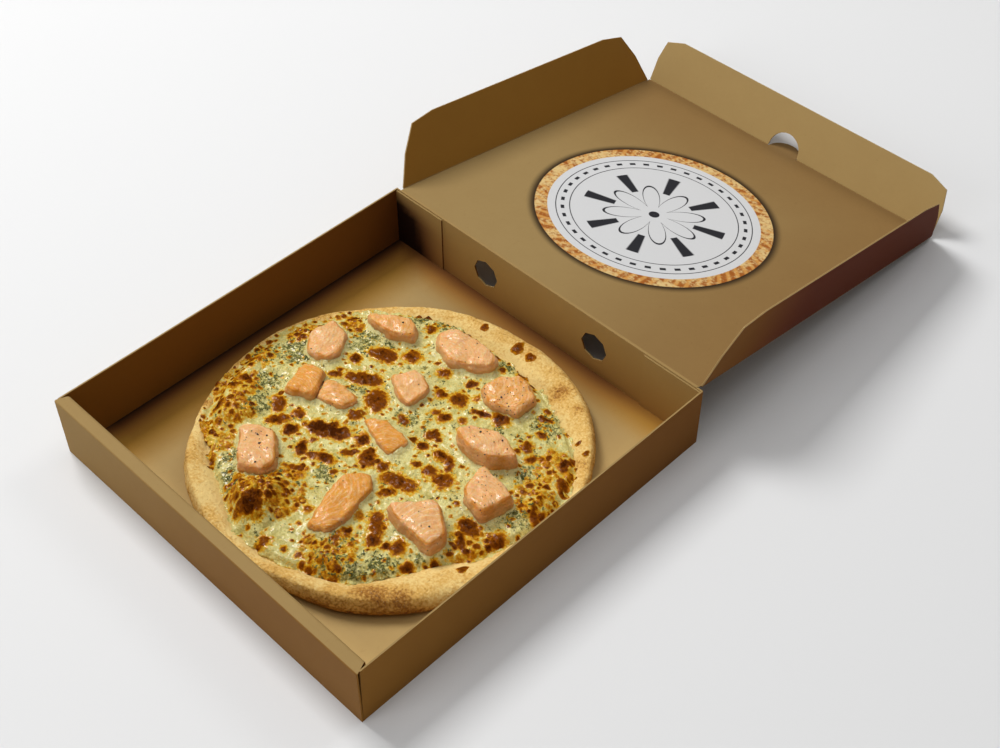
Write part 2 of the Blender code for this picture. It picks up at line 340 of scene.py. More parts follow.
class Graph:
    """A node tree being wired, with short calls for the nodes used here."""

    def __init__(self, tree: bpy.types.NodeTree) -> None:
        """Takes the tree to add nodes to."""
        self.tree = tree

    def give(self, socket: bpy.types.NodeSocket, value: object) -> None:
        """Links a value to an input, or sets the input to a constant."""
        if isinstance(value, Value):
            self.tree.links.new(value.socket, socket)
        elif isinstance(value, tuple) and len(value) == 3 and len(socket.default_value) == 4:
            socket.default_value = (*value, 1.0)
        else:
            socket.default_value = value

    def fill(self, node: bpy.types.Node, inputs: dict[str, object]) -> bpy.types.Node:
        """Gives a node its named inputs, with _ for a space, and returns it."""
        for name, value in inputs.items():
            self.give(node.inputs[name.replace("_", " ")], value)
        return node

    def node(self, kind: str, output: str | int, **inputs: object) -> Value:
        """Adds a shader node.

        Args:
            kind: The node's type without its ShaderNode prefix.
            output: The output that is wanted.
            inputs: Constants or values for named inputs, with _ for a space.

        Returns:
            The output.
        """
        return Value(self, self.fill(self.tree.nodes.new("ShaderNode" + kind), inputs).outputs[output])

    def math(self, operation: str, *terms: object, kind: str = "Math") -> Value:
        """One arithmetic step on constants or values."""
        made = self.tree.nodes.new("ShaderNode" + kind)
        made.operation = operation
        for socket, term in zip(made.inputs, terms):
            self.give(socket, term)
        return Value(self, made.outputs[0])

    def ramp(self, value: object, low: float, high: float) -> Value:
        """A smooth 0 to 1 reading of a value between two limits; high may be below low."""
        made = self.tree.nodes.new("ShaderNodeMapRange")
        made.interpolation_type = "SMOOTHSTEP"
        ends = (0.0, 1.0) if low < high else (1.0, 0.0)
        inputs = {"Value": value, "From Min": min(low, high), "From Max": max(low, high)}
        self.fill(made, {**inputs, "To Min": ends[0], "To Max": ends[1]})
        return Value(self, made.outputs["Result"])

    def mix(self, amount: object, a: object, b: object) -> Value:
        """Mixes two colours by an amount."""
        made = self.tree.nodes.new("ShaderNodeMix")
        made.data_type = "RGBA"
        for socket, value in zip((made.inputs[0], made.inputs[6], made.inputs[7]), (amount, a, b)):
            self.give(socket, value)
        return Value(self, made.outputs[2])

    def layers(self, colour: object, *rows: tuple[object, object, float, float, float]) -> Value:
        """Lays colours over a colour, one after another.

        Args:
            colour: What is under them.
            rows: For each, the colour, the value it follows, where that starts and ends, and its share.

        Returns:
            The colour in the end.
        """
        for over, value, low, high, share in rows:
            colour = self.mix(self.ramp(value, low, high) * share, colour, over)
        return colour

    def stored(self, name: str, output: str = "Fac") -> Value:
        """A mesh attribute's number, or its Vector."""
        made = self.tree.nodes.new("ShaderNodeAttribute")
        made.attribute_name = name
        return Value(self, made.outputs[output])

    def place(self) -> Value:
        """The point in the object's own space."""
        return self.node("TexCoord", "Object")

    def noise(self, vector: object, scale: object, detail: float = 3.0, rough: float = 0.55) -> Value:
        """Noise texture, 0 to 1, at so many cycles a metre."""
        return self.node("TexNoise", "Fac", Vector=vector, Scale=scale, Detail=detail, Roughness=rough)

    def mottle(self, scale: float, fine: float = 0.35, contrast: float = 1.0) -> Value:
        """Soft blotches with a finer layer on them, 0 to 1."""
        return MOTTLE.use(self, scale, fine, contrast)[0]

    def grain(self, scale: float) -> list[Value]:
        """Fine crumb or paper tooth, then sparse flecks, both 0 to 1."""
        return GRAIN.use(self, scale)


@dataclass(frozen=True)
class Effect:
    """A surface effect that materials share, built once as a node group."""

    name: str
    # the numbers it takes after the place
    inputs: tuple[str, ...]
    outputs: tuple[str, ...]
    # makes the outputs of the graph, the place and the numbers
    wire: Callable[..., tuple[Value, ...]]

    def group(self) -> bpy.types.NodeTree:
        """The node group, wired the first time it is asked for."""
        tree = bpy.data.node_groups.get(self.name)
        if tree:
            return tree
        tree = bpy.data.node_groups.new(self.name, "ShaderNodeTree")
        tree.interface.new_socket("Vector", in_out="INPUT", socket_type="NodeSocketVector")
        for way, labels in (("INPUT", self.inputs), ("OUTPUT", self.outputs)):
            for label in labels:
                tree.interface.new_socket(label, in_out=way, socket_type="NodeSocketFloat")
        graph = Graph(tree)
        start, end = tree.nodes.new("NodeGroupInput"), tree.nodes.new("NodeGroupOutput")
        given = [Value(graph, start.outputs[label]) for label in ("Vector", *self.inputs)]
        graph.fill(end, dict(zip(self.outputs, self.wire(graph, *given))))
        return tree

    def use(self, graph: Graph, *numbers: float) -> list[Value]:
        """Places the group in a material with its own numbers, and returns its outputs."""
        made = graph.tree.nodes.new("ShaderNodeGroup")
        made.node_tree = self.group()
        graph.fill(made, {"Vector": graph.place(), **dict(zip(self.inputs, numbers))})
        return [Value(graph, made.outputs[label]) for label in self.outputs]


def wire_mottle(g: Graph, place: Value, scale: Value, fine: Value, contrast: Value) -> tuple[Value, ...]:
    """Adds two noises of unlike size."""
    broad, small = g.noise(place, scale, 2.0, 0.5), g.noise(place, scale * 5.3, 3.0, 0.5)
    return ((broad * (1.0 - fine) + small * fine - 0.5) * contrast + 0.5,)


def wire_grain(g: Graph, place: Value, scale: Value) -> tuple[Value, ...]:
    """Makes a stretched noise and a thresholded one."""
    long = g.node("Mapping", "Vector", Vector=place, Scale=(1.0, 0.35, 1.0))
    return g.noise(long, scale, 4.0, 0.7), g.ramp(g.noise(long, scale * 0.4, 1.0, 0.4), 0.68, 0.76)


MOTTLE = Effect("mottle", ("Scale", "Fine", "Contrast"), ("Value",), wire_mottle)
GRAIN = Effect("grain", ("Scale",), ("Height", "Flecks"), wire_grain)


class Finish:
    """Base of the finishes: makes a Principled material and hands its graph to paint()."""

    name: str

    def material(self) -> bpy.types.Material:
        """The finish's material, made the first time it is asked for."""
        found = bpy.data.materials.get(self.name)
        if found:
            return found
        made = bpy.data.materials.new(self.name)
        made.use_nodes = True
        self.paint(Graph(made.node_tree), made.node_tree.nodes["Principled BSDF"])
        return made

    def paint(self, g: Graph, shader: bpy.types.Node) -> None:
        """Wires the colour, roughness and normal."""
        raise NotImplementedError

    @staticmethod
    def coat(g: Graph, shader: bpy.types.Node, colour: Value, *bump: object, **inputs: object) -> None:
        """Gives the shader its colour, its bump and its other inputs.

        Args:
            g: The material's graph.
            shader: Its Principled shader.
            colour: The base colour.
            bump: The height from 0 to 1, the depth of 1 in metres, and the share of the effect.
            inputs: Constants or values for other inputs, with _ for a space.
        """
        if bump:
            height, depth, share = bump
            inputs["Normal"] = g.node("Bump", "Normal", Height=height, Distance=depth, Strength=share)
        g.fill(shader, {"Base Color": colour, **inputs})


# ---------------------------------------------------------------- card


@dataclass(frozen=True)
class KraftCard(Finish):
    """Brown kraft board: paper tooth, pale edges that are partly the cut board's paler core and partly a painted
    highlight, and painted shade that makes it deeper and warmer where it is dark.
    """

    name: str = "kraft_card"
    light: Colour = (0.370, 0.250, 0.098)
    fibre: Colour = (0.255, 0.150, 0.052)
    # pale edges: the cut board's paler core, and a painted highlight along folded crests
    cut_edge_and_highlight: Colour = (0.50, 0.37, 0.19)
    tooth: float = 1400.0

    def card_colour(self, g: Graph) -> Value:
        """The board's colour, darkened and reddened by its stored painted shade, with its pale edges (partly a painted
        highlight) and the paper's flecks.
        """
        colour = g.layers(self.light, (self.fibre, g.mottle(45.0, 0.4), 0.3, 0.7, 0.10))
        colour = g.mix(g.grain(self.tooth)[1] * 0.14, colour, self.fibre)
        # painted shade: the stored multipliers darken and redden the card
        shaded_card = g.math("MULTIPLY", colour, g.stored("tint", "Vector"), kind="VectorMath")
        # pale edges: partly the cut board's core, partly a painted highlight
        return g.mix(g.stored("edge") * 0.8, shaded_card, self.cut_edge_and_highlight)

    def paint(self, g: Graph, shader: bpy.types.Node) -> None:
        """Matt card with a fine tooth."""
        tooth = g.grain(self.tooth)[0]
        self.coat(g, shader, self.card_colour(g), tooth, 0.00006, 0.5, Roughness=0.72, Specular_IOR_Level=0.10)


@dataclass(frozen=True)
class PrintedCard(KraftCard):
    """The lid's inner face: kraft card with a generic round badge printed on it."""

    name: str = "printed_card"
    paper_white: Colour = (0.60, 0.60, 0.60)
    ink: Colour = (0.022, 0.022, 0.026)
    halo: Colour = (0.020, 0.010, 0.005)
    golden: Colour = (0.56, 0.26, 0.06)
    amber: Colour = (0.33, 0.10, 0.015)
    cream: Colour = (0.66, 0.47, 0.20)
    radius: float = 0.0885
    ring: float = 0.0105
    # marks on the disc: radii of the band of beads, the fine rings, the rays and the rosette's eye
    beads: tuple[float, float] = (0.0745, 0.0775)
    fine_rings: tuple[float, float] = (0.0700, 0.0815)
    rays: tuple[float, float] = (0.034, 0.060)
    eye: float = 0.0045
    # the rosette's inner radius and the length of its petals
    rosette: float = 0.012
    petal: float = 0.030

    def card_colour(self, g: Graph) -> Value:
        """Adds the badge over the card's colour."""
        badge = g.stored("badge", "Vector")
        x, y = (g.node("SeparateXYZ", axis, Vector=badge) for axis in "XY")
        r, turn = g.math("SQRT", x * x + y * y), g.math("ARCTAN2", y, x)

        def wave(kind: str, times: float) -> Value:
            """A wave round the badge, without its sign."""
            return g.math("ABSOLUTE", g.math(kind, turn * times))

        def disc(radius: float, soft: float) -> Value:
            """1 within a radius, with a soft edge."""
            return g.ramp(r, radius + soft, radius - soft)

        def between(inner: float, outer: float, soft: float = 0.0003) -> Value:
            """1 between two radii, with soft edges."""
            return g.ramp(r, inner - soft, inner + soft) * disc(outer, soft)

        # rope-like border: slanted strands that lean along the ring
        strands = g.math("SINE", turn * 64.0 + r * 420.0)
        rope = (self.golden, strands, -0.4, 0.9, 1.0), (self.cream, g.mottle(70.0, 0.5), 0.42, 0.62, 1.0)
        # ink: beads, then two fine rings, an eight-petalled rosette, its eye and the rays round it
        ink = between(*self.beads) * g.ramp(g.math("COSINE", turn * 40.0), 0.1, 0.4)
        for mark in (
            *[between(radius - 0.0004, radius + 0.0004, 0.0002) for radius in self.fine_rings],
            g.ramp(g.math("ABSOLUTE", r - (wave("COSINE", 4.0) * self.petal + self.rosette)), 0.0014, 0.0008),
            between(0.0, self.eye),
            g.ramp(g.math("POWER", wave("SINE", 4.0), 12.0), 0.35, 0.6) * between(*self.rays),
        ):
            ink = g.math("MAXIMUM", ink, mark)
        colour, printed, edge = super().card_colour(g), g.stored("printed"), self.radius + self.ring
        for amount, over in (
            (g.ramp(r, edge + 0.0080, edge) * 0.95, self.halo),
            (disc(edge, 0.0004), g.layers(self.amber, *rope)),
            (disc(self.radius, 0.0003), self.paper_white),
            (ink, self.ink),
        ):
            colour = g.mix(amount * printed, colour, over)
        return colour


def tint(depth: np.ndarray, warmth: np.ndarray) -> np.ndarray:
    """Painted shade for card, as colour multipliers: darker by depth, and redder by warmth, more so where it is dark.
    """
    depth, warmth = np.minimum(depth, 0.97), np.maximum(warmth, 0.0)
    lightness = 1 - depth
    green = (1 - 0.27 * warmth) * (1 - 0.5 * np.maximum(depth, 0) * np.minimum(warmth, 1))
    return np.column_stack([lightness, lightness * green, lightness * np.maximum(1 - 0.78 * warmth, 0.12)])


@dataclass
class CardPiece:
    """One packed board, copied with eased edges and cut into small faces that carry its painted shade."""

    node: str
    body: str
    finish: KraftCard
    slot: str
    grid: float = 0.007
    ease: float = 0.00022
    along: Vector = field(default_factory=lambda: Vector((1, 0, 0)))
    across: Vector = field(default_factory=lambda: Vector((0, 1, 0)))
    # faces this close to one plane are merged, and edges sharper than the second angle are eased
    flat_within: float = math.radians(1.5)
    sharp_beyond: float = math.radians(35)
    weld: float = 1e-6
    # faces whose normals are this close to one of the board's axes are shaded flat
    square: float = 0.995

    def __post_init__(self) -> None:
        """Adds the third of the board's own axes."""
        self.axes = (self.along, self.across, self.along.cross(self.across))

    def build(self) -> bpy.types.Object:
        """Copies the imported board, eases its edges and cuts it into a grid.

        Returns:
            The new piece, with a pale edge marked on its eased edges.
        """
        bm = bmesh.new()
        bm.from_mesh(frame["nodes"][self.node].data)
        bmesh.ops.remove_doubles(bm, verts=bm.verts, dist=self.weld)
        bmesh.ops.dissolve_limit(bm, angle_limit=self.flat_within, verts=bm.verts, edges=bm.edges)
        mark = bm.faces.layers.float.new("edge")
        sharp = [e for e in bm.edges if len(e.link_faces) == 2 and e.calc_face_angle(0) > self.sharp_beyond]
        eased = bmesh.ops.bevel(
            bm, geom=sharp, offset=self.ease, segments=2, profile=0.6, affect="EDGES", clamp_overlap=True
        )
        for face in eased["faces"]:
            face[mark] = 1.0
        self.cut_grid(bm)
        mesh = bpy.data.meshes.new(self.node + "_card")
        bm.to_mesh(mesh)
        bm.free()
        for polygon in mesh.polygons:
            polygon.use_smooth = max(abs(polygon.normal.dot(axis)) for axis in self.axes) < self.square
        return add_object(self.node + "_card", mesh)

    def cut_grid(self, bm: bmesh.types.BMesh) -> None:
        """Cuts the board at even steps along its own axes."""
        for axis in self.axes:
            reach = [axis.dot(v.co) for v in bm.verts]
            low, span = min(reach), max(reach) - min(reach)
            count = int(span / self.grid)
            for i in range(1, count + 1):
                geometry = [*bm.verts, *bm.edges, *bm.faces]
                cut = axis * (low + span * i / (count + 1))
                bmesh.ops.bisect_plane(bm, geom=geometry, plane_co=cut, plane_no=axis, dist=self.weld)

    def finish_with(self, piece: bpy.types.Object, shade_tone: Callable[[np.ndarray, np.ndarray], tuple]) -> None:
        """Stores the card's painted shade at each face corner, and dresses the piece in its card.

        Args:
            piece: The board.
            shade_tone: Gives the painted shade's depth and warmth, each 0 to about 1, from points and face normals.
        """
        mesh = piece.data
        corner_vertex = np.empty(len(mesh.loops), int)
        mesh.loops.foreach_get("vertex_index", corner_vertex)
        counts = np.array([p.loop_total for p in mesh.polygons])
        normals = np.repeat(np.array([p.normal for p in mesh.polygons]), counts, axis=0)
        tag(piece, "tint", tint(*shade_tone(points_of(piece)[corner_vertex], normals)), "CORNER")
        dress(piece, self.finish.material(), self.body, self.slot, self.node)


@dataclass
class Tray:
    """The box's base, its walls and the roll-over front."""

    board: CardPiece = field(default_factory=lambda: CardPiece("tray", "box", KraftCard(), "card"))
    # painted shade, as depth and warmth, of its plain parts
    plain: tuple[float, float] = (0.12, 0.1)

    def shade_tone(self, points: np.ndarray, normals: np.ndarray) -> tuple[np.ndarray, np.ndarray]:
        """Painted shade, as depth and warmth: deeper and warmer in the corners, by the left and back walls and on what
        faces right or forward, and paler on the floor toward the front and the right.
        """
        low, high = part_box("tray")
        x, y, z = points.T
        rise = z / high.z
        from_left, from_back = x - low.x - BOARD, high.y - BOARD - y
        within = (from_left > -BOARD / 2) & (x < high.x - BOARD / 2) & (from_back > -BOARD / 2)
        right, front = normals[:, 0] > 0.5, normals[:, 1] < -0.5
        floor = (normals[:, 2] > 0.5) & (z < 3 * BOARD)

        def fade(distance: np.ndarray, reach: float, power: float) -> np.ndarray:
            """1 at a wall, falling away from it."""
            return np.exp(-((np.maximum(distance, 0) / reach) ** power))

        # painted shade: darker by the left and back walls and in the back-left corner; paler on the floor near the
        # front and to the right
        left, back = fade(from_left, 0.0135, 1.5), fade(from_back, 0.016, 1.3)
        floor_warmth = np.maximum(smooth(from_left, 0.062, 0.022), smooth(from_back, 0.035, 0.008))
        near_front, by_right = smooth(y - low.y, 0.045, 0.008), smooth(x, 0.06, 0.14)
        shade_at_walls = 1.05 * np.maximum(left, (0.72 - 0.22 * by_right) * back)
        side, sweep = smooth(y, low.y, high.y), smooth(x + high.z - z, -0.15, 0.10)
        corner = fade(from_left, 0.035, 1.6) * smooth(z, 0.056, 0.030)
        shadow = 0.28 * (1 - rise) ** 1.5 + 0.2 * fade(from_left, 0.03, 1.5) + 1.3 * corner
        depth, warmth = (np.full(len(x), share) for share in self.plain)
        # painted shade of the floor, the faces turned right, the front's outside and the back wall's inside
        for part, deep, warm in (
            (floor, -0.05 - 0.50 * near_front - 0.25 * by_right + shade_at_walls, 0.9 * floor_warmth),
            (right & within, 0.36 + 0.13 * side + 0.15 * fade(from_back, 0.03, 1.5), 1.0),
            (right & ~within, 0.24 + 0.19 * side, 1.0),
            (front & (y < 0), 0.12 + 0.24 * sweep, 0.25 + 0.5 * sweep),
            (front & within & (y > 0), shadow - 0.03, 0.2 + 0.5 * (1 - rise) + 0.5 * corner),
        ):
            depth, warmth = np.where(part, deep, depth), np.where(part, warm, warmth)
        return depth, warmth

    def build(self) -> None:
        """Makes the tray."""
        self.board.finish_with(self.board.build(), self.shade_tone)


@dataclass(frozen=True)
class Fold:
    """One of the lid's folds, and the flap that stands up from it."""

    node: str
    body: str
    start: Vector
    along: Vector
    outward: Vector
    face: Vector
    angle: float

    @property
    def rise(self) -> Vector:
        """Up the flap, away from the fold."""
        return self.outward * math.cos(self.angle) + self.face * math.sin(self.angle)

    @property
    def back(self) -> Vector:
        """Straight out of the flap's outer side."""
        return self.outward * math.sin(self.angle) - self.face * math.cos(self.angle)


@dataclass
class Lid:
    """The lid panel, its flaps and the creases that join them to each other and to the tray."""

    side: Vector = field(default_factory=lambda: Vector((1, 0, 0)))
    badge_x: float = -0.0065
    badge_u: float = 0.145
    length: float = 0.318
    crease_lap: float = 0.00036
    skin: float = BOARD - 0.00002
    slot: str = "card_inside"
    # how far the left, right and front flaps stand from lying flat, in degrees
    angles: tuple[float, float, float] = (65, 81, 75)
    # where the creases of the side flaps start and end
    side_crease: tuple[float, float] = (0.0036, 0.3146)

    def __post_init__(self) -> None:
        """Reads the fold lines from the frame's joints."""
        joints = {joint["name"]: joint for joint in frame["joints"]}
        self.hinge = np.array(joints["lid_hinge"]["pos_m"])
        self.up_slope = Vector(joints["left_fold"]["axis"]).normalized()
        self.face = self.side.cross(self.up_slope)

        def fold(name: str, node: str, body: str, along: Vector, outward: Vector, angle: float) -> Fold:
            """The fold at one of the joints."""
            return Fold(node, body, Vector(joints[name]["pos_m"]), along, outward, self.face, math.radians(angle))

        left, right, front = self.angles
        self.left = fold("left_fold", "side_flap_left", "left_flap", self.up_slope, -self.side, left)
        self.right = fold("right_fold", "side_flap_right", "right_flap", self.up_slope, self.side, right)
        self.front = fold("front_fold", "front_flap", "far_flap", self.side, self.up_slope, front)

    def build(self) -> None:
        """Makes the panel, the flaps and the creases."""
        self.build_panel()
        # each flap's painted shade: inner and outer depth and warmth, and how much paler its outer face is near the
        # hinge
        self.build_flap(self.left, (0.14, 0.93), (0.25, 0.5), 0.0)
        self.build_flap(self.right, (0.1, 0.2), (0.70, 2.2), 1.0)
        self.build_flap(self.front, (-0.13, 0.0), (0.25, 0.5), 0.0)
        # each crease: name, fold, where it starts and ends, and its painted shade
        for name, fold, low, high, shade_tone in (
            ("left_crease", self.left, *self.side_crease, 0.3),
            ("right_crease", self.right, *self.side_crease, 0.5),
            ("front_crease_left", self.front, -0.1545, -0.0170, 0.15),
            ("front_crease_right", self.front, 0.0150, 0.1545, 0.15),
        ):
            self.build_crease(name, fold, fold.start + fold.along * low, fold.along * (high - low), shade_tone)
        self.build_hinge_creases()

    def board(self, node: str, body: str, finish: KraftCard, along: Vector, across: Vector) -> CardPiece:
        """One of the lid's boards, to be cut along its own axes."""
        return CardPiece(node, body, finish, self.slot, 0.009, 0.0002, along, across)

    def build_panel(self) -> None:
        """The lid's flat panel, with places stored for its printed badge."""
        board = self.board("lid", "lid_panel", PrintedCard(), self.side, self.up_slope)
        piece = board.build()
        x, u, n = np.array([self.side, self.up_slope, self.face]) @ (points_of(piece) - self.hinge).T
        tag(piece, "badge", np.column_stack([x - self.badge_x, u - self.badge_u, np.zeros_like(x)]))
        tag(piece, "printed", n > -BOARD / 2)

        def shade_tone(at: np.ndarray, normals: np.ndarray) -> tuple[np.ndarray, np.ndarray]:
            """Painted shade: a little deeper and warmer to the far right, by the far fold, and on the underside."""
            across, along = np.array([self.side, self.up_slope]) @ (at - self.hinge).T
            away = np.maximum(smooth(across, -0.03, 0.13), smooth(along, 0.12, 0.30))
            # painted shade along the far fold
            by_fold = 0.14 * np.exp(-np.abs(along - self.length) / 0.010)
            under = normals @ np.array(self.face) < -0.5
            return np.where(under, 0.25, 0.17 + 0.16 * away + by_fold), np.where(under, 0.6, 0.05 + 0.25 * away)

        board.finish_with(piece, shade_tone)

    def build_flap(self, fold: Fold, inner: tuple[float, float], outer: tuple[float, float], painted_hinge_light: float) -> None:
        """A flap standing up from the panel.

        Args:
            fold: The fold that it stands on.
            inner: The painted shade of its inner face, as depth and warmth.
            outer: Those of its outer face.
            painted_hinge_light: How much of that painted shade the outer face loses near the hinge, as painted light.
        """
        board = self.board(fold.node, fold.body, KraftCard(), fold.along, fold.rise)

        def shade_tone(at: np.ndarray, normals: np.ndarray) -> tuple[np.ndarray, ...]:
            """Painted shade: one for each side of the flap, and one between them for its edges."""
            out = (normals @ np.array(fold.back))[:, None]
            shade_tones = np.where(out < -0.5, inner, np.where(out > 0.5, outer, (0.15, 0.2)))
            from_hinge = (at - self.hinge) @ np.array(self.up_slope)
            # painted light: the outer face paler near the hinge
            paler = painted_hinge_light * smooth(from_hinge, 0.13, 0.02) * (out[:, 0] > 0.5)
            return shade_tones[:, 0] - 0.25 * paler, shade_tones[:, 1] - 1.2 * paler

        board.finish_with(board.build(), shade_tone)

    def build_crease(self, name: str, fold: Fold, start: Vector, run: Vector, shade_tone: float) -> None:
        """The wedge of board on the outside of one fold.

        Args:
            name: The piece's name.
            fold: The fold.
            start: One end of the crease.
            run: From there to its other end.
            shade_tone: The card's painted shade there.
        """
        outward, rise, outer, face = fold.outward, fold.rise, fold.back, self.face
        sink, lap, depth, steps = BOARD - self.skin, self.crease_lap, self.skin, 8
        section = [-outward * lap - face * sink, Vector((0, 0, 0)), rise * lap + outer * sink]
        section.append(rise * lap + outer * depth)
        for i in range(steps + 1):
            angle = fold.angle * (1 - i / steps)
            section.append((outward * math.sin(angle) - face * math.cos(angle)) * depth)
        section.append(-outward * lap - face * depth)
        piece = self.strip(name, [start + p for p in section], run, shade_tone)
        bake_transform(piece, "lid_panel", fold.body, start=start - face * depth, end=start + outer * depth)
        dress(piece, KraftCard().material(), "lid_panel", self.slot)

    def strip(self, name: str, section: Sequence[Vector], run: Vector, shade_tone: float) -> bpy.types.Object:
        """A closed solid that carries a section along a straight run, with one painted shade."""
        count = len(section)
        ends = [tuple(range(count))[::-1], tuple(range(count, 2 * count))]
        points = np.array([*section, *[p + run for p in section]])
        sides = [(i, (i + 1) % count, (i + 1) % count + count, i + count) for i in range(count)]
        piece = new_piece(name, points, sides + ends)
        face_outward(piece)
        piece.data.set_sharp_from_angle(angle=math.radians(40))
        tag(piece, "tint", tint(np.full(2 * count, shade_tone), np.full(2 * count, 1.4 * shade_tone)))
        tag(piece, "edge", np.zeros(2 * count))
        return piece

    def build_hinge_creases(self) -> None:
        """The two skins of the crease between the back wall and the lid: over the top, and behind."""
        high, hinge_z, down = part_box("tray")[1], self.hinge[2], -self.face
        half, top, back = -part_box("lid")[0].x - 0.0006, high.z, high.y
        run = Vector((2 * half, 0, 0))

        def point(y: float, z: float) -> Vector:
            """A point of the section at the run's start."""
            return Vector((-half, back + y, z))

        lid_top = point(0, hinge_z) + self.up_slope * 0.0012
        over = [point(0.0001 - BOARD, top - 0.0001), point(0.0002 - BOARD, top + 0.00025)]
        over += [point(-0.0005, top + 0.00048), point(0.0004, hinge_z + 0.00012), lid_top]
        under = [lid_top + down * 0.0003, point(0.0003, top - 0.0002), point(-0.0002, top - 0.0001)]
        # 0.12: the inner skin's painted shade
        piece = self.strip("hinge_crease_inner", over + under, run, 0.12)
        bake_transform(piece, "box", "lid_panel", start=over[1], end=lid_top)
        dress(piece, KraftCard().material(), "lid_panel", self.slot)

        a = point(0.00002, top - 0.0006)
        b = point(0, hinge_z) + self.up_slope * 0.0014 + down * (BOARD + 0.00002)
        middle = (a + b) / 2 + Vector((0, 0.0001, 0.00022))
        skin = Vector((0, 0.00009, -0.00016))
        behind = [a, a.lerp(middle, 0.5), middle, middle.lerp(b, 0.5), b]
        behind += [p + skin for p in reversed(behind)]
        # 0.25: the outer skin's painted shade
        piece = self.strip("hinge_crease_outer", behind, run, 0.25)
        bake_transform(piece, "box", "lid_panel", start=a, end=b)
        dress(piece, KraftCard().material(), "lid_panel", self.slot)


# ---------------------------------------------------------------- pizza


@dataclass(frozen=True)
class PizzaPlan:
    """The pizza's outline and rim by bearing about its centre, as the part has them."""

    centre: tuple[float, float] = (0.0086, -0.0003)
    radius: float = 0.1468
    under: float = 0.0015
    base_top: float = 0.0090
    crest: float = 0.0185
    cheese: float = 0.0140
    # bare rim width at every 30 degrees, anticlockwise from +X
    widths: tuple[float, ...] = (0.017, 0.012, 0.027, 0.027, 0.015, 0.008, 0.006, 0.006, 0.022, 0.015, 0.019, 0.032)
    # gentle bulges: bearing and half width in degrees, then the amount
    bulges: tuple[tuple[float, float, float], ...] = (
        (172, 16, 0.0028), (-127, 14, 0.0026), (-72, 12, -0.0036), (98, 18, -0.0032), (52, 20, 0.0026),
        (138, 20, -0.0030),
    )
    flat: float = math.radians(125)
    reach_right: float = 0.1523
    reach_front: float = -0.1458

    def outer(self, bearing: np.ndarray) -> np.ndarray:
        """The outline's radius."""
        radius = np.full(len(bearing), self.radius)
        for centre, width, amount in self.bulges:
            off = (bearing - math.radians(centre) + math.pi) % TURN - math.pi
            radius += amount * np.exp(-((off / math.radians(width)) ** 2))
        to_right, to_front = self.reach_right - self.centre[0], self.centre[1] - self.reach_front
        for toward, room in ((np.cos(bearing), to_right), (-np.sin(bearing), to_front)):
            radius = np.where(toward > 0.5, np.minimum(radius, room / np.maximum(toward, 0.5)), radius)
        return radius

    def width(self, bearing: np.ndarray) -> np.ndarray:
        """The bare rim's width, read smoothly round the turn."""
        count = len(self.widths)
        place = (bearing / TURN) % 1.0 * count
        knots = range(-2, count + 3)
        return through(list(knots), [self.widths[k % count] for k in knots], place)

    def rise(self, across: np.ndarray, bearing: np.ndarray) -> np.ndarray:
        """The crust's top height, where across runs from 0 at the rim's inner edge to 1 outside."""
        shares = (0.0, 0.14, 0.30, 0.50, 0.72, 0.88, 0.96, 1.0)
        heights = (0.0, 0.36, 0.68, 0.90, 1.00, 0.80, 0.42, 0.0)
        width = self.width(bearing)
        puff = 0.26 + 0.70 * smooth(width, 0.008, 0.019) + 0.06 * np.sin(5 * bearing + 1.0)
        puff *= 1 - 0.50 * np.exp(-(((bearing - self.flat) / 0.75) ** 2))
        return self.base_top + (self.crest - self.base_top) * puff * through(shares, heights, np.clip(across, 0, 1))

    def polar(self, x: np.ndarray, y: np.ndarray) -> tuple[np.ndarray, np.ndarray]:
        """Radius and bearing of points about the pizza's centre."""
        return np.hypot(x - self.centre[0], y - self.centre[1]), np.arctan2(y - self.centre[1], x - self.centre[0])


@dataclass(frozen=True)
class BakedDough(Finish):
    """Golden, floury crust: pale low parts, toasted crest, dark flecks and small pores."""

    name: str = "baked_dough"
    pale: Colour = (0.90, 0.65, 0.250)
    golden: Colour = (0.76, 0.44, 0.110)
    toasted: Colour = (0.42, 0.180, 0.030)
    charred: Colour = (0.13, 0.048, 0.018)
    flour: Colour = (0.90, 0.76, 0.44)

    def paint(self, g: Graph, shader: bpy.types.Node) -> None:
        """Colour by the stored bake and by blotches."""
        fine, (tooth, flecks) = g.mottle(560.0, 0.35, 2.0), g.grain(900.0)
        level = g.stored("bake") + (g.mottle(95.0, 0.5, 1.4) - 0.5) * 1.3 + (fine - 0.5)
        colour = g.layers(
            self.pale,
            (self.golden, level, 0.0, 0.60, 1.0),
            (self.toasted, level, 0.5, 1.1, 1.0),
            (self.charred, level, 1.0, 1.6, 1.0),
        )
        colour = g.mix(flecks * 0.4, colour, self.toasted)
        colour = g.layers(colour, (self.flour, g.noise(g.place(), 1300.0, 2.0), 0.58, 0.72, 0.35))
        self.coat(g, shader, colour, tooth * 0.5 + fine, 0.0010, 0.8, Roughness=0.85, Specular_IOR_Level=0.12)


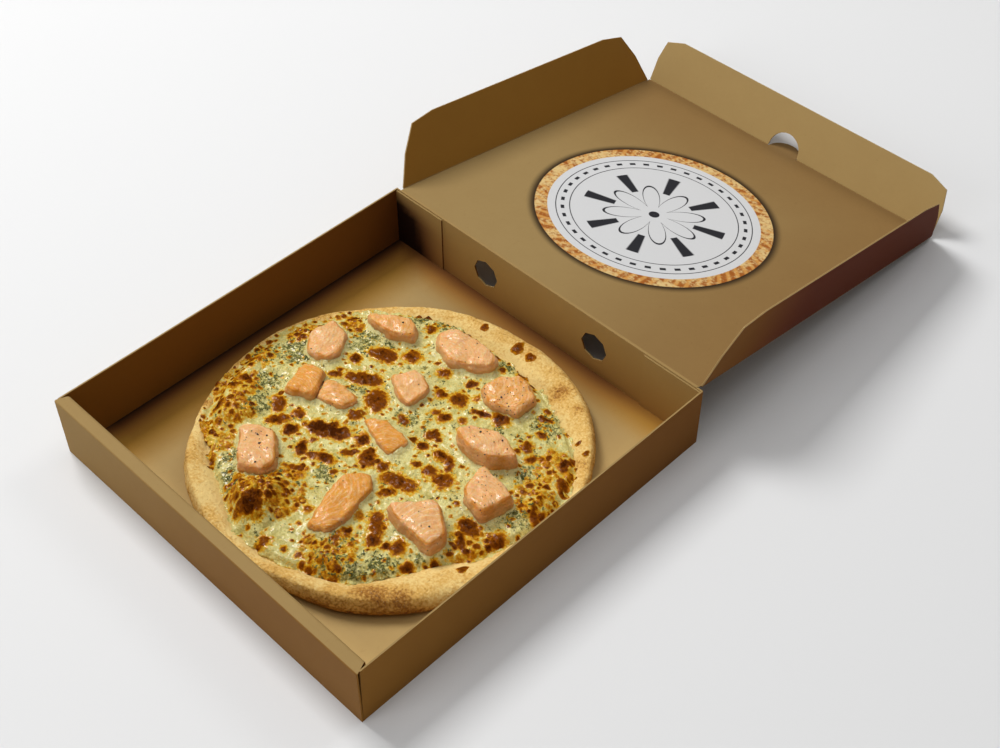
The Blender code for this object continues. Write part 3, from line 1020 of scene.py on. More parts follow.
@dataclass(frozen=True)
class MeltedCheese(Finish):
    """Pale melted cheese, browned by its stored bake, with spinach showing through, and paler round the salmon, partly
    as painted light.
    """

    name: str = "melted_cheese"
    pale: Colour = (0.60, 0.505, 0.140)
    cream: Colour = (0.89, 0.81, 0.345)
    # pale rim of cheese round the salmon, brightened as painted light against the salmon's shadow
    meniscus_and_painted_light: Colour = (0.90, 0.83, 0.44)
    golden: Colour = (0.80, 0.48, 0.030)
    orange: Colour = (0.60, 0.210, 0.001)
    brown: Colour = (0.235, 0.058, 0.000)
    dark: Colour = (0.070, 0.014, 0.000)
    veil: Colour = (0.255, 0.245, 0.070)
    fleck: Colour = (0.075, 0.082, 0.014)

    def paint(self, g: Graph, shader: bpy.types.Node) -> None:
        """Colour by the stored masks, each broken up at a finer scale."""
        coarse, fine = g.mottle(150.0, 0.35, 1.7), g.mottle(480.0, 0.35, 1.8)
        grains, speckle = g.noise(g.place(), 620.0), fine - 0.5
        shares = {"green": 0.7, "gold": 0.6, "bake": 0.6}
        green, gold, bake = (g.stored(name) + speckle * share for name, share in shares.items())
        colour = g.layers(self.pale, (self.cream, fine * 0.35 + coarse * 0.65, 0.30, 0.64, 1.0))
        # the stored cream mask pales the cheese round the salmon, partly as painted light
        colour = g.layers(
            g.mix(g.stored("cream") * 0.65, colour, self.meniscus_and_painted_light),
            (self.veil, green, 0.25, 0.90, 0.9),
            (self.fleck, green * 0.20 + grains, 0.68, 0.75, 0.9),
            (self.cream, green * 0.10 - grains, -0.40, -0.32, 0.75),
            (self.golden, gold, 0.10, 0.85, 0.85),
            (self.golden, bake, 0.04, 0.20, 1.0),
            (self.orange, bake, 0.16, 0.38, 1.0),
            (self.brown, bake, 0.34, 0.64, 1.0),
            (self.dark, bake, 0.68, 1.05, 1.0),
        )
        wet = (g.ramp(g.mottle(90.0, 0.5), 0.4, 0.65) * 0.65 + 0.10) * g.ramp(g.stored("bake"), 1.1, 0.1)
        gloss = {"Roughness": 0.55, "Specular_IOR_Level": 0.03, "Coat_Weight": wet, "Coat_Roughness": 0.14}
        self.coat(g, shader, colour, coarse * 1.2 + fine, 0.0013, 1.0, **gloss)


@dataclass
class Crust:
    """The dough under and around the topping."""

    plan: PizzaPlan
    around: int = 900
    noise: Noise = field(default_factory=lambda: Noise(11))
    # toasted patches, and, where the strength is negative, painted light that pales the rim: bearing in degrees,
    # distance outside the centre, radius, strength
    patches: tuple[tuple[float, float, float, float], ...] = (
        (65, 0.131, 0.011, 0.75), (56, 0.139, 0.008, 0.25), (35, 0.141, 0.010, 0.25), (-47, 0.140, 0.020, 0.25),
        (-38, 0.146, 0.014, 0.35), (-60, 0.139, 0.012, 0.3), (15, 0.141, 0.010, 0.3), (95, 0.138, 0.014, 0.2),
        (-45, 0.134, 0.034, 0.36), (-115, 0.130, 0.034, -0.34), (-142, 0.137, 0.024, -0.34),
        (-92, 0.136, 0.016, -0.15),
    )

    def rings(self, bearing: np.ndarray) -> list[tuple[np.ndarray, object]]:
        """The skin's rings from the middle of its top round to the middle underneath.

        Args:
            bearing: The bearings of each ring's points.

        Returns:
            Each ring's radii and heights.
        """
        plan, n = self.plan, self.around
        outer, width = plan.outer(bearing), plan.width(bearing)
        over = np.concatenate([np.linspace(-0.25, 0.0, 3)[:-1], np.linspace(0.0, 0.97, 26)])
        rings = [(outer * share, plan.base_top) for share in (0.25, 0.5, 0.75)]
        rings += [(outer - width + a * width, plan.rise(np.full(n, a), bearing)) for a in over]
        edge_z = rings[-1][1]
        for out, drop in ((0.0, 0.25), (0.0001, 0.5), (0.0, 0.75)):
            rings.append((outer + out, edge_z * (1 - drop) + 0.005 * drop))
        foot = ((0.0006, 0.0050), (0.0018, 0.0034), (0.0035, 0.0024), (0.0080, plan.under))
        rings += [(outer - inset, z) for inset, z in foot]
        return rings + [(outer * share, plan.under) for share in (0.8, 0.6, 0.4, 0.2)]

    def build(self) -> None:
        """Makes the crust as one closed skin."""
        plan, n = self.plan, self.around
        bearing = np.arange(n) * TURN / n
        rings = self.rings(bearing)
        points = [np.column_stack([r * np.cos(bearing), r * np.sin(bearing), np.broadcast_to(z, n)]) for r, z in rings]
        points.append(np.array([[0, 0, plan.base_top], [0, 0, plan.under]]))
        last = (len(rings) - 1) * n
        faces = [face for start in range(0, last, n) for face in band(start, start + n, n)]
        faces += fan(last + n, 0, n) + turned(fan(last + n + 1, last, n))
        piece = new_piece("crust_dough", np.vstack(points) + np.array([*plan.centre, 0.0]), faces)
        self.texture(piece)
        dress(piece, BakedDough().material(), "box", "bread", "crust")

    def texture(self, piece: bpy.types.Object) -> None:
        """Swells and pits the crust, and stores how far each part is baked, lowered in a few places as painted light.
        """
        points, normals = points_of(piece), normals_of(piece)
        x, y, z = points.T
        radius, bearing = self.plan.polar(x, y)
        outer = self.plan.outer(bearing)
        bare = smooth(radius, 0.10, 0.12) * smooth(z, 0.0018, 0.006)
        swell = 0.00055 * self.noise.layers(points, 0.016, 2) + 0.00022 * self.noise.layers(points, 0.0045, 3)
        pits = self.noise.at(points + 3.0, 0.0035)
        swell -= 0.00035 * smooth(pits, 0.45, 0.9)
        place_points(piece, points + normals * (swell * bare)[:, None])
        across = 1 - (outer - radius) / self.plan.width(bearing)
        bake = 0.12 + 0.22 * self.noise.layers(points, 0.022, 3) + 0.26 * smooth(across, 0.1, 0.6)
        side = smooth(outer - radius, 0.005, -0.001)
        bake += 0.18 * side + 0.45 * side * smooth(z, 0.013, 0.004)
        bake += 0.35 * smooth(z, 0.0025, 0.0016)
        # negative strengths pale the rim: painted light
        for centre, distance, size, strength in self.patches:
            cx, cy = aside(self.plan.centre, distance, math.radians(centre))
            bake += strength * dome(np.hypot(x - cx, y - cy) / size / (1 + 0.25 * pits))
        tag(piece, "bake", bake)


# The larger browned patches: centre x and y, half length, half width, all in millimetres, and the
# length's direction in degrees. The first is the darkest.
BROWN_PATCHES: tuple[tuple[float, float, float, float, float], ...] = (
    (-30, -25, 17, 8, 30), (-58, 54, 12, 7, 25), (-41, 68, 7, 6, 65), (-71, 37, 5, 4, -35), (-51, 27, 15, 6, 25),
    (-27, 18, 11, 8, -35), (16, 61, 7, 6, -40), (-76, -35, 7, 5, -40), (-65, -45, 9, 4, 50), (-32, -50, 7, 4, -50),
    (-12, -45, 7, 4, 15), (-5, -15, 6, 5, -30), (10, -24, 8, 7, -35), (42, -23, 16, 6, 15), (27, 24, 6, 4, 45),
    (46, 15, 6, 4, 10), (56, 13, 8, 3, -45), (63, 0, 8, 6, 15), (2, 57, 4, 4, 40), (21, 42, 5, 4, 45),
    (38, 64, 9, 2, 25), (52, 70, 6, 5, 0), (84, 64, 6, 4, -45), (59, -60, 11, 5, -45), (67, -71, 5, 5, 0),
    (84, -63, 6, 6, 30), (105, -17, 9, 6, -20), (111, -29, 7, 3, -50), (128, -11, 6, 5, -80), (42, -129, 7, 3, 45),
    (14, -123, 4, 4, 10), (-19, -65, 8, 3, 30), (-43, -123, 6, 4, -55), (-69, 107, 9, 3, 35), (115, 70, 7, 3, -50),
    (133, 21, 6, 3, -45), (1, 19, 6, 3, -15), (-105, -68, 5, 4, -65), (30, 115, 4, 3, 20), (-11, -112, 11, 8, 50),
    (-69, 15, 5, 3, 45), (-59, -31, 5, 4, 45), (-27, -2, 7, 4, 60), (12, 80, 5, 3, 50), (-12, 73, 5, 4, 40),
    (13, 41, 3, 3, 0), (84, 80, 4, 3, 30), (75, 93, 6, 2, 20), (-51, -44, 5, 5, 0), (-3, -28, 7, 3, 55),
    (-21, -50, 5, 3, 20), (24, -22, 4, 4, 0), (30, 12, 4, 4, 45), (51, -1, 5, 5, 0), (39, -3, 3, 3, 0),
    (43, -36, 7, 3, 60), (95, 58, 5, 3, 45), (77, -68, 3, 3, 0), (49, -77, 4, 3, 45), (112, -18, 4, 4, 0),
    (100, -69, 4, 4, 0), (111, -54, 3, 3, 0), (130, -47, 4, 3, 30), (70, -113, 5, 4, -45), (-53, 100, 4, 4, 0),
    (-117, 23, 3, 3, 0), (-113, -36, 5, 4, 45), (-110, -49, 4, 4, 30), (-126, -20, 3, 2, 0), (-106, 67, 3, 3, 0),
)
# Blisters that browned on the bare rim or at its edge: x, y and radius in millimetres.
RIM_BLISTERS: tuple[tuple[float, float, float], ...] = (
    (-25, 130, 3.5), (10, 131, 5), (24, 130, 4), (126, 57, 4.5), (131, 52, 3.5), (129, -45, 3.5), (-135, 4, 2.5),
    (-128, -19, 2.5), (108, 93, 2), (137, 36, 2), (119, 89, 2.5),
)
# Where spinach shows: x, y and radius in millimetres.
SPINACH: tuple[tuple[float, float, float], ...] = (
    (-125, -10, 12), (-87, -47, 10), (-100, -27, 11), (-110, 10, 14), (-100, 35, 12), (-50, 115, 10), (-67, 97, 8),
    (80, 90, 12), (16, 114, 7), (102, 45, 7), (120, 13, 11), (62, -107, 12), (80, -98, 8), (88, -80, 10),
    (50, -88, 10), (104, -61, 7), (2, 24, 7), (-48, 15, 7), (-45, -107, 9), (-80, 56, 11), (53, 101, 6),
    (-35, -84, 7), (0, -57, 8), (-38, 121, 6), (-15, 95, 6), (-60, -90, 8),
)
# Bubbly, golden parts of the topping: x, y and radius in millimetres, and how toasted.
BUBBLY: tuple[tuple[float, float, float, float], ...] = (
    (-113, -45, 16, 0.3), (-87, -88, 15, 0.3), (-19, -95, 25, 1.0), (51, -98, 18, 0.3), (120, 32, 15, 0.3),
    (-80, -109, 12, 0.3), (-126, -15, 10, 0.3), (-26, 134, 9, 0.2), (115, -26, 14, 0.3), (114, 64, 14, 0.1),
    (-118, 28, 12, 0.25), (-100, 62, 9, 0.1), (-95, -62, 12, 0.4), (-35, -92, 10, 0.5),
)


@dataclass
class Blisters:
    """The topping's blisters: rounded lobes that brown from their tops."""

    plan: PizzaPlan
    # the distance from a place to the nearest piece of salmon
    keep_off: Callable[[float, float], float]
    # each lobe's centre, radius, bake at its middle and round its foot, and height over its radius
    rows: list[tuple[float, ...]] = field(default_factory=list)
    # centre and radius of each single blister
    taken: list[tuple[float, float, float]] = field(default_factory=list)
    noise: Noise = field(default_factory=lambda: Noise(23))
    on_rim: int = 55
    strays: int = 1150
    large_strays: float = 0.24
    field_radius: float = 0.133
    # how far a lobe's brown halo reaches, in its radii
    halo: float = 2.0

    def scatter(self) -> None:
        """Lists every blister: the patches' lobes, the bubbly parts' bubbles, and stray ones."""
        rng = np.random.default_rng(19)
        for index, patch in enumerate(BROWN_PATCHES):
            self.add_patch(rng, patch, 1.15 if index == 0 else rng.uniform(0.72, 0.95))
        for cx, cy, size, _ in BUBBLY:
            for _ in range(int(size * size * 0.5)):
                turn, away = rng.uniform(0, TURN), size * 1.15 * MM * math.sqrt(rng.random())
                place = aside((cx * MM, cy * MM), away, turn)
                self.add_single(rng, place, rng.uniform(1.4, 3.2) * MM, 0.85, rng.random() < 0.35)
        for _ in range(self.on_rim):
            turn = math.radians(rng.uniform(150, 232))
            reach = float(self.plan.outer(np.array([turn]))[0]) - rng.uniform(0.001, 0.011)
            place = aside(self.plan.centre, reach, turn)
            self.add_single(rng, place, rng.uniform(1.2, 2.6) * MM, 1.0)
        for _ in range(self.strays):
            turn, away = rng.uniform(0, TURN), self.field_radius * rng.random() ** 0.62
            size = rng.uniform(1.8, 3.4) if rng.random() < self.large_strays else rng.uniform(0.8, 1.6)
            self.add_single(rng, aside(self.plan.centre, away, turn), size * MM, 1.5)

    def add_patch(self, rng: np.random.Generator, patch: tuple[float, ...], depth: float) -> None:
        """Fills one browned patch with overlapping lobes."""
        cx, cy, length, breadth, angle = patch
        turn = math.radians(angle)
        mean = max(1.5, min(3.1, breadth * 0.62))
        for _ in range(int(3.4 * length * breadth / mean**2) + 2):
            size = mean * rng.uniform(0.7, 1.25)
            swing, share = rng.uniform(0, TURN), math.sqrt(rng.random())
            along = max(length - size * 0.8, 0.5) * share * math.cos(swing)
            over = max(breadth - size * 0.8, 0.3) * share * math.sin(swing)
            x = cx + along * math.cos(turn) - over * math.sin(turn)
            y = cy + along * math.sin(turn) + over * math.cos(turn)
            core = depth * (1.12 - 0.40 * share) * rng.uniform(0.75, 1.15)
            self.rows.append((x * MM, y * MM, size * MM * 1.28, core, 0.40, 0.38))

    def add_single(
        self, rng: np.random.Generator, place: tuple[float, float], size: float, spacing: float, hollow: bool = False
    ) -> None:
        """Adds one round blister where there is room for it.

        Args:
            rng: Draws how it browned.
            place: Its centre.
            size: Its radius.
            spacing: How far it keeps from others, 1 where they touch.
            hollow: Whether it browned round its foot only.
        """
        x, y = place
        close = any(math.hypot(x - a, y - b) < (size + c) * spacing for a, b, c in self.taken)
        if close or self.keep_off(x, y) < size + 0.001:
            return
        self.taken.append((x, y, size))
        core = rng.uniform(0.22, 0.5) if size < 0.0012 else rng.uniform(0.45, 0.95)
        if hollow:
            self.rows.append((x, y, size * 1.25, core * 0.45, rng.uniform(0.4, 0.7), 0.5))
        else:
            self.rows.append((x, y, size, core, rng.uniform(0.25, 0.55), 0.4))

    def lay(self, x: np.ndarray, y: np.ndarray) -> tuple[np.ndarray, np.ndarray]:
        """How baked and how raised each place is.

        Args:
            x: Plan positions.
            y: Plan positions.

        Returns:
            The bake, 0 for none to about 1 for dark, and the height in metres.
        """
        bake, height = np.zeros(len(x)), np.zeros(len(x))
        patchy = 0.35 + 0.95 * smooth(flat_noise(self.noise, x, y, 0.0050, 2), -0.4, 0.5)
        order = np.argsort(x)
        sorted_x = x[order]
        for cx, cy, size, core, ring, lift in self.rows:
            low, high = np.searchsorted(sorted_x, (cx - self.halo * size, cx + self.halo * size))
            near = order[low:high]
            away = np.hypot(x[near] - cx, y[near] - cy) / size
            near, away = near[away < self.halo], away[away < self.halo]
            inside = smooth(away, 1.20, 0.55)
            edge = ring * np.exp(-(((away - 0.84) / 0.20) ** 2)) * patchy[near]
            halo = 0.23 * smooth(away, self.halo, 1.0)
            bake[near] = np.maximum(bake[near], np.maximum(core * inside, np.maximum(edge, halo)))
            height[near] = np.maximum(height[near], lift * size * dome(away / 1.05))
        return bake, height


@dataclass
class Topping:
    """Melted cheese over spinach, with its blisters, up to an uneven edge on the crust."""

    plan: PizzaPlan
    side: int = 308
    # how deep the edge turns down, and the base's share of the outline
    skirt: float = 0.0020
    base: float = 0.9
    noise: Noise = field(default_factory=lambda: Noise(5))

    def disc(self) -> tuple[np.ndarray, Faces]:
        """An even square grid pressed into a unit disc.

        Returns:
            The points as x and y, and the faces between them.
        """
        line = np.linspace(-1, 1, self.side)
        a, b = (grid.ravel() for grid in np.meshgrid(line, line, indexing="ij"))
        wide = np.abs(a) > np.abs(b)
        radius = np.where(wide, a, b)
        small, large = np.where(wide, b, a), np.where(radius == 0, 1.0, radius)
        turn = math.pi / 4 * small / large
        turn = np.where(wide, turn, math.pi / 2 - turn)
        n = self.side
        cells = [(i * n + j, i * n + j + 1) for i in range(n - 1) for j in range(n - 1)]
        faces = [(low, low + n, high + n, high) for low, high in cells]
        return np.column_stack([radius * np.cos(turn), radius * np.sin(turn)]), faces

    def rim_order(self) -> list[int]:
        """The grid's border vertices in order round the disc."""
        n = self.side
        last = (n - 1) * n
        near, right = [i * n for i in range(n)], [last + j for j in range(1, n)]
        return near + right + [i * n + n - 1 for i in range(n - 2, -1, -1)] + list(range(n - 2, 0, -1))

    def build(self) -> None:
        """Makes the topping as one closed solid, and stores its masks."""
        plan = self.plan
        unit, faces = self.disc()
        bearing = np.arctan2(unit[:, 1], unit[:, 0])
        circle = np.column_stack([np.cos(bearing), np.sin(bearing), bearing * 0]) * 0.13
        ragged = 0.0038 * self.noise.layers(circle, 0.020, 2) + 0.0024 * self.noise.layers(circle, 0.006, 2)
        width = plan.width(bearing)
        narrow = smooth(width, 0.013, 0.0085)
        reach = plan.outer(bearing) - width + 0.0012 + 0.45 * width * narrow + ragged * (1 - 0.7 * narrow)
        reach = np.minimum(reach, plan.outer(bearing) - 0.0002)
        x = plan.centre[0] + unit[:, 0] * reach
        y = plan.centre[1] + unit[:, 1] * reach
        z, masks = self.relief(x, y, np.hypot(unit[:, 0], unit[:, 1]))
        order = self.rim_order()
        skirt = np.column_stack([x[order], y[order], z[order] - self.skirt])
        low = np.full(len(order), plan.base_top + 0.0003)
        base = np.column_stack([x[order] * self.base, y[order] * self.base, low])
        count, m = len(x), len(order)
        for k in range(m):
            j = (k + 1) % m
            faces += [(order[j], order[k], count + k, count + j), (count + j, count + k, count + m + k, count + m + j)]
        faces.append(tuple(range(count + m, count + 2 * m)))
        piece = new_piece("cheese_topping", np.vstack([np.column_stack([x, y, z]), skirt, base]), faces)
        face_outward(piece)
        for name, values in masks.items():
            tag(piece, name, np.concatenate([values, values[order], np.zeros(m)]))
        dress(piece, MeltedCheese().material(), "box", "cheese", "cheese")

    def relief(self, x: np.ndarray, y: np.ndarray, share: np.ndarray) -> tuple[np.ndarray, dict[str, np.ndarray]]:
        """Heights of the topping and its masks.

        Args:
            x: Plan positions.
            y: Plan positions.
            share: 0 at the middle to 1 at the edge.

        Returns:
            The heights, and the masks by name.
        """
        plan = self.plan
        z = self.packed_height(x, y)
        radius, bearing = plan.polar(x, y)
        inner, width = plan.outer(bearing) - plan.width(bearing), plan.width(bearing)
        rim = plan.rise((radius - inner) / width, bearing)
        narrow = smooth(width, 0.013, 0.008)
        on_rim = smooth(radius - inner, -0.004 - 0.007 * narrow, 0.0015)
        z = np.maximum(z * (1 - on_rim) + rim * on_rim, np.where(radius > inner, rim, 0))
        z += 0.0007 * smooth(share, 1.0, 0.965)

        def spots(size: float, octaves: int, right: float = 0.0, up: float = 0.0) -> np.ndarray:
            """Noise over the topping, read from another part of it for each use."""
            return flat_noise(self.noise, x + right, y + up, size, octaves)

        warp_x, warp_y = x + 0.0011 * spots(0.0055, 2), y + 0.0011 * spots(0.0055, 2, 7)
        wide_x, wide_y = x + 0.006 * spots(0.016, 3, 0, 3), y + 0.006 * spots(0.016, 3, 7, 3)
        salmon = SalmonDistance()
        near = salmon.away(x, y)
        blisters = Blisters(plan, salmon.at)
        blisters.scatter()
        bake, raised = blisters.lay(warp_x, warp_y)
        bubbly = self.zones([row[:3] for row in BUBBLY], wide_x, wide_y, 1.25)
        toast = self.zones(BUBBLY, wide_x, wide_y, 1.1)
        rough, soft = spots(0.0035, 3), spots(0.011, 2, 1)
        strands = 1 - np.abs(flat_noise(self.noise, wide_x * 1.6, wide_y, 0.0050, 1)) * 5.0
        veins = smooth(strands, 0.0, 0.9) * smooth(bubbly, 0.15, 0.6) * smooth(rough, -0.35, 0.35)
        bake = np.maximum(bake, 0.08 * veins)
        crisp = spots(0.0070, 1, 9)
        bake = np.maximum(bake, toast * (0.06 + 0.85 * smooth(crisp, -0.15, 0.65)))
        brim = smooth(radius - inner, -0.004, 0.002) * (0.55 + 0.45 * narrow)
        bake = np.maximum(bake, brim * narrow * (0.04 + 0.3 * smooth(crisp, 0.1, 0.8)))
        wash = 0.10 + 0.80 * smooth(spots(0.0080, 3, 11), -0.3, 0.3)
        gold = bubbly * wash + 0.35 * smooth(soft, 0.25, 0.7) + (0.35 - 0.20 * narrow) * brim - 0.05
        drifts, tufts = 0.8 * smooth(spots(0.014, 3, 3), 0.34, 0.75), 0.60 * smooth(spots(0.007, 3, 5), 0.0, 0.7)
        green = np.maximum.reduce([self.zones(SPINACH, wide_x, wide_y, 1.6), drifts, tufts, 0.55 * toast])
        green = np.clip(green * (0.8 + 0.7 * rough), 0, 1) * smooth(bake, 0.5, 0.2) * (1 - brim)

        off = smooth(near, 0.0004, 0.0020)
        # cream: a pale rim of cheese round the salmon, partly painted light that cancels the salmon's shadow
        cream = np.exp(-near / 0.0022) * (0.8 + rough) + 0.3 * smooth(near, 0.009, 0.001)
        z += 0.0036 * np.exp(-near / 0.0023) - 0.0003 * smooth(near, 0.008, 0.002)
        z += 0.0045 * self.zones(BUBBLY, x, y, 1.15) * off
        z += 0.0008 * soft + 0.00042 * rough * (1 + 1.2 * bubbly) + off * raised * (1 + 0.7 * toast) + 0.0005 * veins
        z += 0.00035 * smooth(green, 0.3, 0.9) * spots(0.0018, 1)
        masks = {"bake": bake * off, "gold": gold * (0.3 + 0.7 * smooth(near, 0.001, 0.006))}
        return z, {**masks, "green": green * smooth(near, 0.0005, 0.003), "cream": np.clip(cream, 0, 1)}

    def packed_height(self, x: np.ndarray, y: np.ndarray) -> np.ndarray:
        """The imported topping's height at each place, or its usual height beyond it."""
        packed = tree_over([frame["nodes"]["cheese"].data])
        z = np.full(len(x), self.plan.cheese)
        for k in range(len(x)):
            hit = packed.ray_cast(Vector((x[k], y[k], OVERHEAD)), DOWN)
            if hit[0] is not None:
                z[k] = hit[0].z
        return z

    @staticmethod
    def zones(places: Iterable[Sequence[float]], x: np.ndarray, y: np.ndarray, spread: float) -> np.ndarray:
        """Round zones as one mask, strongest at their middles. A fourth number scales a zone."""
        mask = np.zeros(len(x))
        for cx, cy, size, *amount in places:
            share = np.sqrt(dome(np.hypot(x - cx * MM, y - cy * MM) / (size * spread * MM)))
            mask = np.maximum(mask, share * (amount[0] if amount else 1.0))
        return mask


def salmon_nodes() -> list[str]:
    """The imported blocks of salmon, in order."""
    return sorted(name for name in frame["nodes"] if name.startswith("salmon_"))


class SalmonDistance:
    """Distance over the topping to the nearest piece of salmon."""

    reach: float = 0.012

    def __init__(self) -> None:
        """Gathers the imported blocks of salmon."""
        blocks = [frame["nodes"][name].data for name in salmon_nodes()]
        self.tree = tree_over(blocks)
        self.level = min(v.co.z for mesh in blocks for v in mesh.vertices) + 0.0015

    def at(self, x: float, y: float) -> float:
        """The distance from one place, 0 under the salmon and at most its reach."""
        spot = Vector((x, y, self.level))
        found = self.tree.find_nearest(spot, self.reach)
        if found[0] is None:
            return self.reach
        return 0.0 if (spot - found[0]).dot(found[1]) < 0 else found[3]

    def away(self, x: np.ndarray, y: np.ndarray) -> np.ndarray:
        """The distance from each place."""
        return np.array([self.at(a, b) for a, b in zip(x, y)])


@dataclass(frozen=True)
class BakedSalmon(Finish):
    """Moist pink-orange fish: fine fibres, pale flake lines, tanned edges, and sides darkened as painted shade."""

    name: str = "baked_salmon"
    pink: Colour = (0.90, 0.475, 0.180)
    orange: Colour = (0.82, 0.350, 0.045)
    pale: Colour = (0.97, 0.74, 0.48)
    tan: Colour = (0.72, 0.270, 0.022)
    # side: the colour of the sides' painted shade
    side: Colour = (0.66, 0.345, 0.135)
    foot: Colour = (0.86, 0.64, 0.36)
    flesh: Colour = (1.0, 0.45, 0.2)

    def paint(self, g: Graph, shader: bpy.types.Node) -> None:
        """Colour by flake, side and tan masks."""
        soft, fine = g.mottle(110.0, 0.4, 1.6), g.mottle(520.0, 0.35, 1.8)
        fibre = g.noise(g.stored("fibre", "Vector"), 1.0, 2.0, 0.5)
        colour = g.layers(
            self.pink,
            (self.orange, g.stored("orange") + (soft - 0.5) * 1.6, 0.0, 0.9, 1.0),
            (self.pale, fibre, 0.50, 0.66, 0.30),
            (self.pale, fine, 0.50, 0.85, 0.35),
            (self.tan, fine, 0.45, 0.15, 0.30),
        )
        colour = g.mix(g.stored("flake") * 0.8, colour, self.pale)
        # painted shade on the sides
        colour = g.layers(
            g.mix(g.stored("side") * (fine * 0.6 + 0.55), colour, self.side),
            (self.tan, g.stored("tan") + (soft - 0.5) * 0.6, 0.05, 0.65, 0.8),
            (self.foot, g.stored("foot") + soft * 0.5, 0.4, 1.1, 0.8),
        )
        moist = {"Coat_Weight": g.ramp(soft, 0.4, 0.7) * 0.6 + 0.06, "Coat_Roughness": 0.16, "Roughness": 0.5}
        deep = {"Subsurface_Weight": 0.5, "Subsurface_Scale": 0.005, "Subsurface_Radius": self.flesh}
        height = fibre * 0.8 + fine + g.noise(g.place(), 1300.0, 2.0) * 0.8
        self.coat(g, shader, colour, height, 0.0010, 0.9, Specular_IOR_Level=0.12, **moist, **deep)


class Look(Enum):
    """How a piece of salmon cooked."""

    PINK = 0.0
    WARM = 0.45
    ORANGE = 1.0


@dataclass(frozen=True)
class Fillet:
    """One piece of salmon: its look, the way its flakes run, their spacing, and how strongly they show."""

    look: Look
    flakes: float
    spacing: float = 0.0034
    strength: float = 0.6
    tan: float = 0.4


FILLETS: tuple[Fillet, ...] = (
    Fillet(Look.PINK, 20, 0.0028, 0.9), Fillet(Look.WARM, 60, 0.0040, 0.5, 0.6), Fillet(Look.PINK, 80, 0.0032, 0.8),
    Fillet(Look.ORANGE, 100, 0.0045, 0.3, 0.7), Fillet(Look.WARM, 130, 0.0040, 0.4), Fillet(Look.PINK, 50, 0.0036, 0.6),
    Fillet(Look.WARM, 25, 0.0042, 0.6), Fillet(Look.ORANGE, 140, 0.0060, 0.4), Fillet(Look.PINK, 65, 0.0030, 0.7, 0.9),
    Fillet(Look.PINK, 110, 0.0050, 0.4, 0.9), Fillet(Look.ORANGE, 15, 0.0060, 0.7, 0.3),
    Fillet(Look.PINK, 160, 0.0048, 1.0, 0.5), Fillet(Look.PINK, 100, 0.0050, 0.4, 0.8),
)


@dataclass
class Salmon:
    """The thirteen chunks of fish, each a fine mesh over its packed block."""

    voxel: float = 0.00085
    softening: int = 30
    sunk: float = 0.0014
    noise: Noise = field(default_factory=lambda: Noise(31))

    def build(self) -> None:
        """Makes every chunk."""
        for number, fillet in enumerate(FILLETS, 1):
            self.build_chunk(f"salmon_{number:02d}", number, fillet)

    def fine_copy(self, node: str) -> bpy.types.Object:
        """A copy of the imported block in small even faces."""
        mesh = frame["nodes"][node].data.copy()
        piece = add_object(node + "_fillet", mesh)
        remesh = piece.modifiers.new("remesh", "REMESH")
        remesh.mode, remesh.voxel_size, remesh.use_smooth_shade = "VOXEL", self.voxel, True
        soften = piece.modifiers.new("soften", "SMOOTH")
        soften.factor, soften.iterations = 0.5, self.softening
        graph = bpy.context.evaluated_depsgraph_get()
        fine = bpy.data.meshes.new_from_object(piece.evaluated_get(graph), depsgraph=graph)
        piece.modifiers.clear()
        piece.data = fine
        fine.name = piece.name
        fine.shade_smooth()
        return piece

    def build_chunk(self, node: str, number: int, fillet: Fillet) -> None:
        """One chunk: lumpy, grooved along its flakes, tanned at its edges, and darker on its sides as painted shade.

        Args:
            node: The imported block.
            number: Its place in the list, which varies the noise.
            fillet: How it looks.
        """
        piece = self.fine_copy(node)
        points, normals = points_of(piece), normals_of(piece)
        low, high = points.min(axis=0), points.max(axis=0)
        centre = (low + high) / 2
        shifted = points + number * 0.37
        turn = math.radians(fillet.flakes)
        run = (points - centre) @ np.array([math.cos(turn), math.sin(turn), 0.35])
        bend = (points - centre) @ np.array([-math.sin(turn), math.cos(turn), 0.0])
        run = run + 24.0 * bend * bend + 0.0016 * self.noise.layers(shifted, 0.014, 2)
        phase = np.abs((run / fillet.spacing) % 1.0 - 0.5) * 2
        flake = smooth(phase, 0.74, 1.0) * fillet.strength * smooth(self.noise.at(shifted, 0.012), -0.6, 0.3)
        side = smooth(normals[:, 2], 0.72, 0.25)
        height = (points[:, 2] - low[2]) / (high[2] - low[2])
        lumps = 0.0015 * self.noise.layers(shifted, 0.012, 2) + 0.00028 * self.noise.layers(shifted, 0.0032, 3)
        layers = smooth(np.sin(height * 20 + 3 * self.noise.at(shifted, 0.01)), 0.2, 1.0)
        swell = lumps - 0.00034 * flake - 0.0003 * side * layers + 0.0006
        swell *= smooth(height, 0.02, 0.15)
        points[:, 2] -= self.sunk * height
        place_points(piece, points + normals * swell[:, None])
        ridge = smooth(normals[:, 2], 0.30, 0.65) * smooth(normals[:, 2], 0.96, 0.75)
        tan = (0.45 + fillet.tan) * (0.9 * ridge + 0.3 * side) * (0.6 + self.noise.at(shifted, 0.008))
        # side: painted shade on the sides, stronger lower down
        masks = {"flake": flake, "side": side * (0.5 + 0.5 * smooth(height, 0.95, 0.2)), "tan": tan}
        masks["foot"] = smooth(points[:, 2], 0.0175, 0.0145)
        masks["orange"] = np.full(len(points), fillet.look.value)
        masks["fibre"] = np.column_stack([run * 1250, bend * 190, points[:, 2] * 260 + number * 9])
        for name, values in masks.items():
            tag(piece, name, values)
        dress(piece, BakedSalmon().material(), "box", "fish", node)


